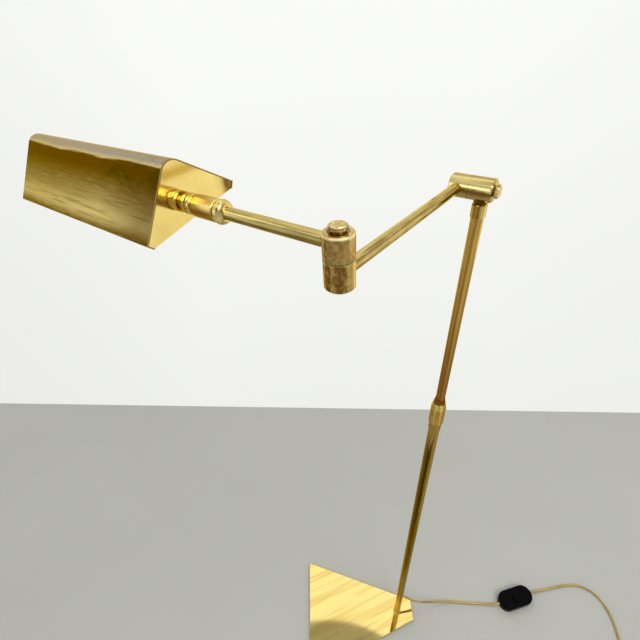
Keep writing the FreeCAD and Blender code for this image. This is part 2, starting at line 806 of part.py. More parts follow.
def make_swivel():
    """The turned pieces between arm 2 and the shade."""
    frame = arm_frame(arm_2_start, arm_2_way)
    wall = size("tube_wall")
    cup_start = cup_end - size("cup_length")
    cup_mouth = arm_radius + wall * 1.2
    turned("swivel_cup", [
        (arm_radius + seat, cup_start), (arm_radius + wall * 0.6, cup_start),
        (cup_mouth, cup_end - wall * 0.8),
        (cup_mouth, cup_end), (spindle_radius + seat, cup_end), (spindle_radius + seat, arm_2_end),
        (arm_radius + seat, arm_2_end),
    ], frame)
    bead_end = cup_end + size("bead_length")
    bead_radius = size("bead_dia") / 2
    bead_flank = size("bead_length") * 0.62
    turned("swivel_bead", [
        (spindle_radius + seat, cup_end), (cup_mouth, cup_end),
        (bead_radius, cup_end + size("bead_length") * 0.52, bead_flank),
        (size("swivel_dia") / 2 - wall, bead_end, bead_flank),
        (spindle_radius + seat, bead_end),
    ], frame)
    barrel_start = bead_end + free
    barrel_end = barrel_start + size("swivel_length")
    front_wall = barrel_start + size("barrel_end") * 1.2
    swivel_radius = size("swivel_dia") / 2
    swivel_bore = swivel_radius - size("swivel_wall")
    edge = wall * 0.8
    turned("swivel_barrel", [
        (spindle_radius + running, barrel_start), (swivel_radius - edge, barrel_start),
        (swivel_radius, barrel_start + edge), (swivel_radius, barrel_end - edge),
        (swivel_radius - edge, barrel_end), (swivel_bore, barrel_end), (swivel_bore, front_wall),
        (spindle_radius + running, front_wall),
    ], frame)
    nut_thick = size("lock_nut_thick")
    spigot = barrel_end - size("flange_length") * 0.3
    nut_start = spigot - free * 2 - nut_thick
    ring(
        "swivel_spindle", spindle_radius / 2, spindle_radius, spindle_start(),
        nut_start + nut_thick, frame,
    )
    ring(
        "swivel_spring", spindle_radius + free, swivel_bore - free,
        front_wall + running, nut_start, frame,
    )
    ring(
        "spindle_nut", spindle_radius + seat, swivel_bore - free * 2, nut_start,
        nut_start + nut_thick, frame,
    )
    make_flange(frame, barrel_end, spigot, swivel_bore)


def make_flange(frame, barrel_end, spigot, swivel_bore):
    """The flange is screwed into the barrel, and its tail passes through the end plate."""
    wall = size("tube_wall")
    length = size("flange_length")
    flange_end = size("shade_reach")
    disc_radius = size("flange_dia") / 2
    groove = disc_radius - wall * 1.2
    collar = disc_radius - wall * 0.3
    neck = disc_radius - wall * 2.6
    groove_end = barrel_end + length * 0.11
    collar_end = barrel_end + length * 0.24
    bulge_end = barrel_end + length * 0.58
    disc_start = barrel_end + length * 0.6
    disc_end = barrel_end + length * 0.8
    tail_radius = size("tail_dia") / 2
    turned("swivel_flange", [
        (wall * 2.5, spigot), (swivel_bore - seat, spigot), (swivel_bore - seat, barrel_end),
        (groove, barrel_end), (groove, groove_end), (collar, groove_end), (collar, collar_end),
        (disc_radius - wall * 0.6, collar_end), (disc_radius - wall * 0.6, bulge_end, length * 0.3),
        (groove, bulge_end), (groove, disc_start), (disc_radius, disc_start),
        (disc_radius, disc_end), (neck, disc_end), (neck, flange_end),
        (tail_radius, flange_end), (tail_radius, tail_end()), (wall * 2.5, tail_end()),
    ], frame)


def plate_inner_face():
    return size("shade_reach") + size("end_plate")


def socket_start():
    return plate_inner_face() + size("lock_nut_thick") + size("tube_wall") * 0.2


def tail_end():
    return socket_start() + size("barrel_end") * 0.8


# Shade. Local Z runs along arm 2 from the elbow's axis, and local X lies across the shade.


def shade_frame():
    level = UP.cross(arm_2_way)
    roll = FreeCAD.Rotation(arm_2_way, float(size("shade_roll")))
    return placed(arm_2_start, roll.multVec(level), arm_2_way)


def tent_outline(inset, drop):
    """The tent's section, set in by a distance, and drop lower than the lip where given."""
    middle = -size("shade_offset")
    apex = size("shade_apex") - inset * ROOT_2
    ridge = size("shade_ridge") - inset
    reach = ridge / ROOT_2
    tangent = apex - reach
    lip_top = -size("shade_lip_drop")
    lip_bottom = lip_top - size("shade_lip")
    lip_half = apex - lip_top
    foot_half = lip_half - size("shade_lip_in")
    corners = [
        (middle + foot_half, lip_bottom), (middle + lip_half, lip_top), (middle + reach, tangent),
        (middle - reach, tangent, ridge), (middle - lip_half, lip_top),
        (middle - foot_half, lip_bottom),
    ]
    if drop is not None:
        corners.append((middle - foot_half, lip_bottom - drop))
        corners.append((middle + foot_half, lip_bottom - drop))
    return corners


def make_shade():
    frame = shade_frame()
    sheet_thick = size("shade_sheet")
    start = size("shade_reach") - size("end_inset")
    shell = new_body("shade_shell", frame)
    pad(shell, lambda s: draw_outline(s, tent_outline(as_size(0), None)), size("shade_length"), start)
    pocket(
        shell,
        lambda s: draw_outline(s, tent_outline(sheet_thick, sheet_thick)),
        size("shade_length"),
        start,
        along_normal=True,
    )
    far = size("shade_reach") + size("shade_length") - size("end_inset") * 2 - size("end_plate")
    for label, offset in (("end_plate_near", size("shade_reach")), ("end_plate_far", far)):
        plate = new_body(label, frame)
        pad(
            plate,
            lambda s: draw_outline(s, tent_outline(sheet_thick + seat, None)),
            size("end_plate"),
            offset,
        )
        if label == "end_plate_near":
            pocket(
                plate,
                lambda s: draw_circle(s, 0, 0, size("tail_dia") / 2 + seat),
                size("end_plate"),
                offset,
                along_normal=True,
            )


def make_lamp():
    """Nut, socket and bulb inside the shade."""
    frame = shade_frame()
    tail_radius = size("tail_dia") / 2
    hex_nut(
        "shade_nut", size("lock_nut_flats"), tail_radius + seat, plate_inner_face(),
        size("lock_nut_thick"), frame,
    )
    start = socket_start()
    floor = tail_end()
    end = start + size("socket_length")
    outer = size("socket_dia") / 2
    mouth = size("socket_bore_dia") / 2
    edge = size("tube_wall") * 1.5
    turned("lamp_socket", [
        (tail_radius + seat, start), (outer - edge, start), (outer, start + edge),
        (outer, end), (mouth, end), (mouth, floor), (tail_radius + seat, floor),
    ], frame)
    cap_radius = size("bulb_cap_dia") / 2
    contact_top = floor + size("tube_wall") * 2
    ring("socket_contact", size("tube_wall"), tail_radius + seat, floor, contact_top, frame)
    cap_start = contact_top + size("tube_wall") * 0.2
    cap_end = end + size("tube_wall")
    turned("bulb_cap", [
        (0, cap_start), (cap_radius * 0.4, cap_start), (cap_radius, cap_start + edge * 2),
        (cap_radius, cap_end), (0, cap_end),
    ], frame)
    glass_radius = size("bulb_dia") / 2
    glass_end = cap_start + size("bulb_length")
    shoulder = cap_end + glass_radius
    turned("bulb_glass", [
        (0, cap_end), (cap_radius, cap_end), (glass_radius, shoulder),
        (glass_radius, glass_end - glass_radius), (0, glass_end, glass_radius),
    ], frame)


# Foot switch. Local X runs along it and the floor is at local Z = 0.

SWITCH_AT = VECTOR(337.5, 15, 0)


def switch_frame():
    return placed(SWITCH_AT, direction(float(size("switch_azimuth"))), UP)


def slot_outline(length, width):
    """A slot with half-round ends, centred on the origin."""
    straight = (length - width) / 2
    radius = width / 2
    return [
        (straight, -radius), (straight, radius, radius),
        (-straight, radius), (-straight, -radius, radius),
    ]


def switch_inside(sketch):
    wall = size("switch_wall")
    draw_outline(sketch, slot_outline(size("switch_length") - wall * 2, size("switch_width") - wall * 2))


def make_switch_shells():
    frame = switch_frame()
    wall = size("switch_wall")
    cord_hole = size("cord_dia") / 2 + free
    screw_x = size("switch_length") * 0.33
    screw_y = size("switch_width") * 0.3
    base = new_body("switch_base", frame)
    pad(base, lambda s: draw_outline(s, slot_outline(size("switch_length"), size("switch_width"))),
        size("switch_split"))
    pocket(base, switch_inside, size("switch_split"), wall, along_normal=True)
    cut_through(base, cord_hole)
    for x, y in ((screw_x, -screw_y), (-screw_x, screw_y)):
        pocket(base, lambda s: draw_circle(s, x, y, size("switch_wall") * 0.8 + seat), wall,
               along_normal=True)
    cover = new_body("switch_cover", frame)
    block = pad(
        cover, lambda s: draw_outline(s, slot_outline(size("switch_length"), size("switch_width"))),
        size("switch_height") - size("switch_split"), size("switch_split"),
    )
    rim = edge_names(block, lambda p: p.z > float(size("switch_height")) - 0.01)
    soften(cover, "Fillet", block, rim, size("switch_round"))
    pocket(cover, switch_inside, size("switch_height") - size("switch_split") - wall * 1.5,
           size("switch_split"), along_normal=True)
    pocket(cover, lambda s: draw_circle(s, 0, 0, size("button_dia") / 2 + free),
           size("switch_height"), size("switch_split"), along_normal=True)
    cut_through(cover, cord_hole)
    boss_bottom = size("switch_split")
    for x, y in ((screw_x, -screw_y), (-screw_x, screw_y)):
        pad(cover, lambda s: draw_circle(s, x, y, wall * 1.7),
            size("switch_height") - size("switch_split") - wall, boss_bottom)
        pocket(cover, lambda s: draw_circle(s, x, y, wall * 0.8 + seat),
               size("switch_split") * 0.7, boss_bottom, along_normal=True)
    make_switch_screws(frame, screw_x, screw_y)


def cut_through(body, radius):
    """A hole along the switch at the height of its joint, through both ends."""
    pocket(
        body,
        lambda s: draw_circle(s, 0, size("switch_split"), radius),
        size("switch_length") + size("switch_wall"),
        -(size("switch_length") / 2 + size("switch_wall") / 2),
        plane="YZ_Plane",
        along_normal=True,
    )


def make_switch_screws(frame, screw_x, screw_y):
    screws = new_body("switch_screws", frame)
    shank = size("switch_wall") * 0.8
    for x, y in ((screw_x, -screw_y), (-screw_x, screw_y)):
        pad(screws, lambda s: draw_circle(s, x, y, shank), size("switch_split") * 1.5,
            size("switch_wall") * 0.2)


def make_switch_inside():
    frame = switch_frame()
    wall = size("switch_wall")
    block_top = size("switch_split") + wall * 0.5
    block = new_body("switch_mechanism", frame)
    reach = size("button_dia") * 0.55
    depth = size("button_dia") * 0.4
    pad(block, lambda s: draw_outline(s, [
        (reach, -depth), (reach, depth), (-reach, depth), (-reach, -depth),
    ]), block_top - wall, wall)
    button_bottom = size("switch_height") - wall * 2
    button_radius = size("button_dia") / 2
    button_top = size("switch_height") + size("button_stand")
    rim = size("button_stand") * 0.45
    turned("switch_button", [
        (0, button_bottom), (button_radius, button_bottom), (button_radius, button_top - rim),
        (button_radius - rim, button_top, rim), (0, button_top),
    ], frame)
    ring("switch_spring", size("button_dia") * 0.22, size("button_dia") * 0.3,
         block_top, button_bottom - running, frame)
    terminals = new_body("switch_terminals", frame)
    inner = terminal_inner()
    outer = terminal_outer()
    side = size("switch_width") * 0.16
    for sign in (1, -1):
        pad(terminals, lambda s: draw_outline(s, [
            (inner * sign, -side), (outer * sign, -side), (outer * sign, side), (inner * sign, side),
        ]), size("switch_split"), wall)


def terminal_inner():
    return size("button_dia") * 0.55 + size("switch_wall")


def terminal_outer():
    return size("switch_length") * 0.32


# Cord.

BUSH_LEAD = 6
SWITCH_LEAD = 3
COIL_LEAD = 24
PLUG_FROM_COIL = 44


def cord_path(points, label):
    """Straight runs joined by tangent arcs, each as large as its two runs allow."""
    edges = []
    last = points[0]
    radii = []
    for before, corner, after in zip(points, points[1:], points[2:]):
        back = (before - corner)
        ahead = (after - corner)
        shorter = min(back.Length, ahead.Length)
        trim = 0.45 * shorter
        back.normalize()
        ahead.normalize()
        turn = math.pi - back.getAngle(ahead)
        radii.append(trim / math.tan(turn / 2))
        start = corner + back * trim
        end = corner + ahead * trim
        bisector = (back + ahead).normalize()
        middle = corner + bisector * (radii[-1] / math.cos(turn / 2) - radii[-1])
        edges.append(Part.LineSegment(last, start).toShape())
        edges.append(Part.Arc(start, middle, end).toShape())
        last = end
    edges.append(Part.LineSegment(last, points[-1]).toShape())
    path = Part.Wire(edges)
    print("%s: length %.1f, radii %s" % (label, path.Length, [round(r) for r in radii]))
    return path


def sweep(path, label, start, start_way):
    """A round tube along a path, its volume compared with its section times its length."""
    radius = float(size("cord_dia")) / 2
    section = Part.Wire([Part.Circle(start, start_way, radius).toShape()])
    solid = path.makePipeShell([section], True, False)
    expected = math.pi * radius * radius * path.Length
    print("%s: volume %.1f, expected %.1f" % (label, solid.Volume, expected))
    if abs(solid.Volume / expected - 1) > 0.02:
        raise RuntimeError("the tube of %s has the wrong volume" % label)
    return solid


def add_solid(label, shape, placement=FreeCAD.Placement()):
    feature = doc.addObject("Part::Feature", label)
    feature.Label = label
    feature.Shape = shape
    feature.Placement = placement
    pieces.append(feature)


def cord_run(label, points):
    path = cord_path(points, label)
    add_solid(label, sweep(path, label, points[0], points[1] - points[0]))


def floor_point(x, y):
    return VECTOR(x, y, float(size("cord_dia")) / 2 + 0.05)


def on_switch(local_x):
    """A point on the switch's long axis at the height of its cord holes."""
    point = VECTOR(float(local_x), 0, float(size("switch_split")))
    return switch_frame().multVec(point)


def make_cord_to_switch():
    outlet = outlet_placement()
    tip = outlet.multVec(VECTOR(0, 0, float(size("bush_length"))))
    after_tip = outlet.multVec(VECTOR(0, 0, float(size("bush_length")) + BUSH_LEAD))
    cord_run("cord_pole_to_switch", [
        tip,
        after_tip,
        VECTOR(15.2, 12.7, 86.9),
        VECTOR(20.1, 12.4, 79.9),
        VECTOR(25.9, 11.4, 72.6),
        VECTOR(32.2, 10.2, 65.3),
        VECTOR(39.6, 9.4, 57.6),
        VECTOR(51, 9.2, 46.9),
        VECTOR(65, 10.3, 35.9),
        VECTOR(81, 11.7, 26.3),
        VECTOR(99, 13.4, 18.2),
        VECTOR(119, 15.0, 11.6),
        VECTOR(141, 15.9, 6.6),
        VECTOR(165, 15.2, 3.6),
        floor_point(190, 12.4),
        floor_point(214, 9.6),
        VECTOR(236, 7.9, 3.2),
        VECTOR(256, 5.9, 4.6),
        VECTOR(273, 3.6, 6.6),
        on_switch(-(size("switch_length") / 2 + SWITCH_LEAD)),
        on_switch(-terminal_outer()),
    ])


COIL_AT = VECTOR(520, -146, 0)
COIL_TURNS_IN = 3.0
COIL_TURNS_OUT = 2.75
TIE_AZIMUTH = 135
TIE_PLAY = 0.1
TIE_GAP = 0.35


def coil_pitch():
    return float(size("cord_dia")) + float(size("coil_gap"))


def coil_lift():
    return float(size("tie_thick")) + TIE_PLAY


def coil_point(turn):
    """Place on the coil after so many turns: inwards on the floor, up in the half turn
    where the spiral reverses, then outwards on top."""
    pitch = coil_pitch()
    outer = float(size("coil_mid_dia")) / 2 + pitch * COIL_TURNS_IN / 2
    inner = outer - pitch * COIL_TURNS_IN
    low = float(size("cord_dia")) / 2 + coil_lift()
    if turn <= COIL_TURNS_IN:
        radius = outer - pitch * turn
        height = low
    elif turn <= COIL_TURNS_IN + 0.5:
        climb = (turn - COIL_TURNS_IN) / 0.5
        radius = inner - pitch * math.sin(math.pi * climb) / (2 * math.pi)
        height = low + pitch * (3 - 2 * climb) * climb * climb
    else:
        radius = inner + pitch * (turn - COIL_TURNS_IN - 0.5)
        height = low + pitch
    angle = -2 * math.pi * turn
    return COIL_AT + VECTOR(radius * math.cos(angle), radius * math.sin(angle), height)


def coil_way(turn):
    step = 1e-4
    return (coil_point(turn + step) - coil_point(turn - step)).normalize()


def biarc(start, start_way, end, end_way):
    """Two arcs that meet smoothly and leave and arrive in the given directions."""
    gap = end - start
    ways = start_way + end_way
    a = 2 * (1 - start_way.dot(end_way))
    b = 2 * gap.dot(ways)
    reach = (-b + math.sqrt(b * b + 4 * a * gap.dot(gap))) / (2 * a)
    first = start + start_way * reach
    second = end - end_way * reach
    joint = (first + second) / 2
    return [corner_arc(start, first, joint), corner_arc(joint, second, end)]


def corner_arc(start, corner, end):
    """The arc that touches both legs of an equal-sided corner at their ends."""
    back = (start - corner).normalize()
    ahead = (end - corner).normalize()
    turn = math.pi - back.getAngle(ahead)
    radius = (start - corner).Length / math.tan(turn / 2)
    middle = corner + (back + ahead).normalize() * (radius / math.cos(turn / 2) - radius)
    return Part.Arc(start, middle, end).toShape()


def make_coil():
    total = COIL_TURNS_IN + 0.5 + COIL_TURNS_OUT
    quarter = 0.25
    steps = int(round(total / quarter))
    diameter = float(size("cord_dia"))
    edges = []
    start = coil_point(0)
    start_way = coil_way(0)
    edges.append(Part.LineSegment(start - start_way * diameter, start).toShape())
    for step in range(steps):
        a, b = step * quarter, (step + 1) * quarter
        edges += biarc(coil_point(a), coil_way(a), coil_point(b), coil_way(b))
    end = coil_point(total)
    end_way = coil_way(total)
    edges.append(Part.LineSegment(end, end + end_way * diameter).toShape())
    path = Part.Wire(edges)
    add_solid("cord_coil", sweep(path, "cord_coil", start - start_way * diameter, start_way))
    print("cord_coil: length %.1f, least gap to itself %.2f" % (path.Length, least_gap(path)))
    return start - start_way * diameter, start_way, end + end_way * diameter, end_way


def least_gap(path):
    """Least distance between turns, less the cord's diameter, on points along the path."""
    points = path.discretize(Distance=2.0)
    skip = int(6 * float(size("cord_dia")) / 2.0)
    least = min(
        (a - b).Length
        for index, a in enumerate(points)
        for b in points[index + skip:]
    )
    return least - float(size("cord_dia"))


def make_cord_to_coil(coil_start, coil_start_way):
    cord_run("cord_switch_to_coil", [
        on_switch(terminal_outer()),
        on_switch(size("switch_length") / 2 + SWITCH_LEAD),
        VECTOR(404, 29.6, 5.2),
        VECTOR(422, 32.2, 3.4),
        floor_point(444, 34.6),
        floor_point(470, 38.4),
        floor_point(500, 42.0),
        floor_point(530, 40.5),
        floor_point(557, 28.0),
        floor_point(574, 4.0),
        floor_point(580, -26.0),
        floor_point(577, -58.0),
        floor_point(569, -88.0),
        coil_start - coil_start_way * COIL_LEAD,
        coil_start,
    ])


def plug_frame(coil_end, coil_end_way):
    """Local X runs from the cord's end through the plug to its pins, on the floor."""
    way = VECTOR(coil_end_way.x, coil_end_way.y, 0).normalize()
    base = coil_end + way * PLUG_FROM_COIL
    base.z = float(size("plug_thick")) / 2
    return placed(base, way, UP)


def make_plug(frame):
    """A flat two-pin plug on its side, with its pins as one pair."""
    length = size("plug_length")
    wide = size("plug_width") / 2
    tail = size("plug_width") * 0.22
    body = new_body("plug_body", frame)
    block = pad(
        body,
        lambda s: draw_outline(s, [
            (0, -tail), (length * 0.55, -wide), (length, -wide),
            (length, wide), (length * 0.55, wide), (0, tail),
        ]),
        size("plug_thick"),
        -size("plug_thick") / 2,
    )
    doc.recompute()
    soften(body, "Fillet", block, plug_edges(block), size("plug_thick") * 0.2)
    pins = new_body("plug_pins", frame)
    for sign in (1, -1):
        pad(
            pins,
            lambda s: draw_circle(s, size("pin_spacing") / 2 * sign, 0, size("pin_dia") / 2),
            size("pin_length"),
            length,
            plane="YZ_Plane",
        )


def plug_edges(block):
    """Long edges of the plug's body, but not those round its face or its tail."""
    names = []
    for number, edge in enumerate(block.Shape.Edges, start=1):
        way = edge.tangentAt(edge.FirstParameter)
        if abs(way.x) > 0.3:
            names.append("Edge%d" % number)
    return names


def make_cord_to_plug(coil_end, coil_end_way, frame):
    plug_tail = frame.Base
    way = VECTOR(coil_end_way.x, coil_end_way.y, 0).normalize()
    cord_run("cord_coil_to_plug", [
        coil_end,
        coil_end + way * 9,
        VECTOR(coil_end.x, coil_end.y, 8.6) + way * 20,
        VECTOR(coil_end.x, coil_end.y, plug_tail.z) + way * 33,
        plug_tail,
    ])


def make_tie():
    """A flat band round the turns of the coil."""
    pitch = coil_pitch()
    diameter = float(size("cord_dia"))
    middle = float(size("coil_mid_dia")) / 2
    half_span = pitch * (COIL_TURNS_IN + 1) / 2 + diameter / 2 + TIE_GAP
    low = coil_lift() - TIE_PLAY
    high = coil_lift() + diameter + pitch + TIE_GAP
    thick = float(size("tie_thick"))
    width = float(size("tie_width"))
    way = direction(TIE_AZIMUTH)
    base = COIL_AT + way * (middle - half_span - thick)
    side = UP.cross(way)
    frame = placed(base - side * (width / 2), way, UP)
    outside = Part.makeBox(2 * (half_span + thick), width, high + thick)
    inside = Part.makeBox(2 * half_span, width, high - low, VECTOR(thick, 0, low))
    add_solid("coil_tie", outside.cut(inside), frame)


def make_cord():
    make_cord_to_switch()
    coil_start, start_way, coil_end, end_way = make_coil()
    make_cord_to_coil(coil_start, start_way)
    frame = plug_frame(coil_end, end_way)
    make_cord_to_plug(coil_end, end_way, frame)
    make_plug(frame)
    make_tie()


def check_and_write():
    """Stops on any failed object, then writes one file for each piece."""
    doc.recompute()
    for item in doc.Objects:
        if "Invalid" in item.State or "Error" in item.State:
            raise RuntimeError("%s failed: %s" % (item.Label, item.State))
    for piece in pieces:
        if piece.Shape.isNull() or not piece.Shape.isValid():
            raise RuntimeError("%s has no valid shape" % piece.Label)
    os.makedirs("parts", exist_ok=True)
    for piece in pieces:
        piece.Shape.exportStep("parts/%s.step" % piece.Label)
    print("%d pieces written" % len(pieces))


make_foot()
make_foot_fixing()
make_lower_tube()
make_outlet_bush()
make_clamp()
make_upper_pole()
make_hinge()
make_elbow()
make_arms()
make_swivel()
make_shade()
make_lamp()
make_switch_shells()
make_switch_inside()
make_cord()
check_and_write()
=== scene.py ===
from math import cos, pi, radians, sin

import bpy
import bmesh
from mathutils import Matrix, Vector


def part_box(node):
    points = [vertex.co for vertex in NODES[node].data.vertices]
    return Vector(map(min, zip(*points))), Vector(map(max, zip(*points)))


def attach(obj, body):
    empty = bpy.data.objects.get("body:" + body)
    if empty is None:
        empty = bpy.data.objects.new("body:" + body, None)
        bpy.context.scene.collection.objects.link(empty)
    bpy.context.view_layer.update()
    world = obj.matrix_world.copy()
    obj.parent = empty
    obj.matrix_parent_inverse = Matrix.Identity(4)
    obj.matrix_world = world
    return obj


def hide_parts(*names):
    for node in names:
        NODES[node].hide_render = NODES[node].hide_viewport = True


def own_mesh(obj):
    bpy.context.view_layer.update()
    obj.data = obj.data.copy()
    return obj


bl_info = {
    "name": "Brass Reading Lamp",
    "version": (1, 0, 0),
    "blender": (4, 5, 0),
    "location": "View3D > Sidebar > Reading Lamp",
    "description": "Dresses a brass reading floor lamp: finishes, cord, bulb and studio",
    "category": "Add Mesh",
}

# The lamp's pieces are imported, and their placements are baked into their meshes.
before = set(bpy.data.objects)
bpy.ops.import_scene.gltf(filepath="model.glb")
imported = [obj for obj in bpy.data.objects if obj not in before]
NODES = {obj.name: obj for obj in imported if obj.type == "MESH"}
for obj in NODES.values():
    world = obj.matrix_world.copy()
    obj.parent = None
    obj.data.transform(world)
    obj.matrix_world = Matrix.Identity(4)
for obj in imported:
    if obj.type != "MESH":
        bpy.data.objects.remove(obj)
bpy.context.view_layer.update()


def heading(azimuth):
    """A level direction."""
    return Vector((cos(azimuth), sin(azimuth), 0))


# Directions in radians and centres in metres that the finishes follow.
HINGE_AZIMUTH = radians(-40.2)
ARM_1_AZIMUTH = radians(229.8)
ARM_2_AZIMUTH = radians(142.6)
SHADE_ROLL = radians(-13.1)
WIPING_AZIMUTH = radians(20.5)
ORIGIN = (0, 0, 0)
ELBOW = Vector((-0.13777, -0.12972, 1.2002))
SWIVEL_CENTRE = (ELBOW.x, ELBOW.y, 1.2212)
SHADE_PLACE = (SWIVEL_CENTRE, (SHADE_ROLL, 0, ARM_2_AZIMUTH))

# Round bars: centre, angle of the side that faces the camera, and azimuth of a level bar.
POLE_BAR = (ORIGIN, radians(-113.6), None)
ELBOW_BAR = ((ELBOW.x, ELBOW.y, 0), radians(-92.8), None)
HINGE_BAR = ((0, 0, ELBOW.z), radians(160.4), HINGE_AZIMUTH)
ARM_1_BAR = (tuple(ELBOW), radians(44.8), ARM_1_AZIMUTH)
ARM_2_BAR = (SWIVEL_CENTRE, radians(31.4), ARM_2_AZIMUTH)

# Colours that several finishes share.
BLACK = (0, 0, 0)
BROWN_SPOT = (0.02, 0.012, 0.006)
GREY_STEEL = (0.5, 0.5, 0.5)
BLACK_RUBBER = (0.02, 0.02, 0.02)

# Gloss of brass and of the shade's film, seen at a grazing angle.
EDGE_TINT = (0.88, 0.74, 0.42)
SHADE_EDGE_TINT = (0.86, 0.68, 0.34)


# Sizes and colours that can be changed.
def tint(name, description, default):
    return bpy.props.FloatVectorProperty(
        name=name, description=description, subtype="COLOR", size=3, min=0, max=1,
        default=default)


def size(name, description, low, high, default):
    return bpy.props.FloatProperty(
        name=name, description=description, subtype="DISTANCE", unit="LENGTH",
        min=low, max=high, default=default)


class LampFinishes(bpy.types.PropertyGroup):
    bright_brass: tint("Bright brass", "Colour of freshly polished brass", (0.9, 0.7, 0.25))
    plate_brass: tint("Plate brass", "Colour of the polished foot plate", (0.87, 0.69, 0.24))
    aged_brass: tint("Aged brass", "Colour of brass under a thin brown film", (0.62, 0.47, 0.17))
    dark_brass: tint("Dark brass", "Colour of brass under a thick brown film", (0.19, 0.1, 0.018))
    cord_colour: tint("Cord", "Colour of the cord's sheath", (0.52, 0.36, 0.09))
    switch_black: tint("Switch", "Colour of the foot switch", (0.0015, 0.0015, 0.0018))


class LampCord(bpy.types.PropertyGroup):
    diameter: size("Diameter", "Outer diameter of the cord", 0.003, 0.01, 0.0055)
    coil_mid_diameter: size(
        "Coil diameter", "Diameter of the coil at the middle of its turns", 0.04, 0.12, 0.066)
    coil_gap: size("Coil gap", "Gap between two turns of the coil", 0.0002, 0.002, 0.0005)
    relief_length: size(
        "Relief length", "Length of the tapered sleeve at the plug", 0.01, 0.04, 0.021)


class LampDetails(bpy.types.PropertyGroup):
    knurl_ridges: bpy.props.IntProperty(
        name="Knurl ridges", description="Ridges round the head of a joint screw",
        min=12, max=72, default=36)
    knurl_height: size(
        "Knurl height", "How far a ridge stands out of the head", 0.00005, 0.0005, 0.00022)


class LampStudio(bpy.types.PropertyGroup):
    floor_grey: tint("Floor", "Colour of the floor", (0.475, 0.478, 0.432))
    floor_depth: size("Floor depth", "How far the floor reaches behind the lamp", 0.3, 5, 0.722)
    floor_slant: bpy.props.FloatProperty(
        name="Floor slant", description="Fall of the floor's far edge for each unit to the right",
        min=-0.5, max=0.5, default=0.0917)
    background: tint("Background", "Colour behind the lamp", (0.955, 0.965, 0.93))
    key_power: bpy.props.FloatProperty(
        name="Key light", description="Power of the large soft light",
        unit="POWER", min=0, max=200, default=22)


# Building blocks for node trees.
class Tree:
    """A node tree with short calls to fill it."""

    def __init__(self, tree):
        self.tree = tree

    def add(self, kind, inputs=None, **settings):
        node = self.tree.nodes.new(kind)
        for key, value in settings.items():
            setattr(node, key, value)
        for key, value in (inputs or {}).items():
            self.join(value, node.inputs[key])
        return node

    def join(self, value, socket):
        if isinstance(value, bpy.types.NodeSocket):
            self.tree.links.new(value, socket)
        elif isinstance(value, tuple) and len(value) == 3 and socket.type == "RGBA":
            socket.default_value = (*value, 1)
        else:
            socket.default_value = value

    def steps(self, value, *stops):
        """A ramp of (place, colour or grey) stops."""
        ramp = self.add("ShaderNodeValToRGB", {"Fac": value})
        band = ramp.color_ramp
        while len(band.elements) < len(stops):
            band.elements.new(0.5)
        for element, (at, colour) in zip(band.elements, stops):
            element.position = at
            if isinstance(colour, (int, float)):
                colour = (colour, colour, colour)
            element.color = (*colour, 1)
        return ramp.outputs["Color"]

    def mix(self, amount, one, other, how="MIX"):
        return self.add(
            "ShaderNodeMix", {0: amount, 6: one, 7: other},
            data_type="RGBA", blend_type=how).outputs[2]

    def fit(self, value, low, high, first=0.0, last=1.0):
        """A value between low and high taken to between first and last, and held there."""
        return self.add("ShaderNodeMapRange", {
            "Value": value, "From Min": low, "From Max": high,
            "To Min": first, "To Max": last}).outputs[0]


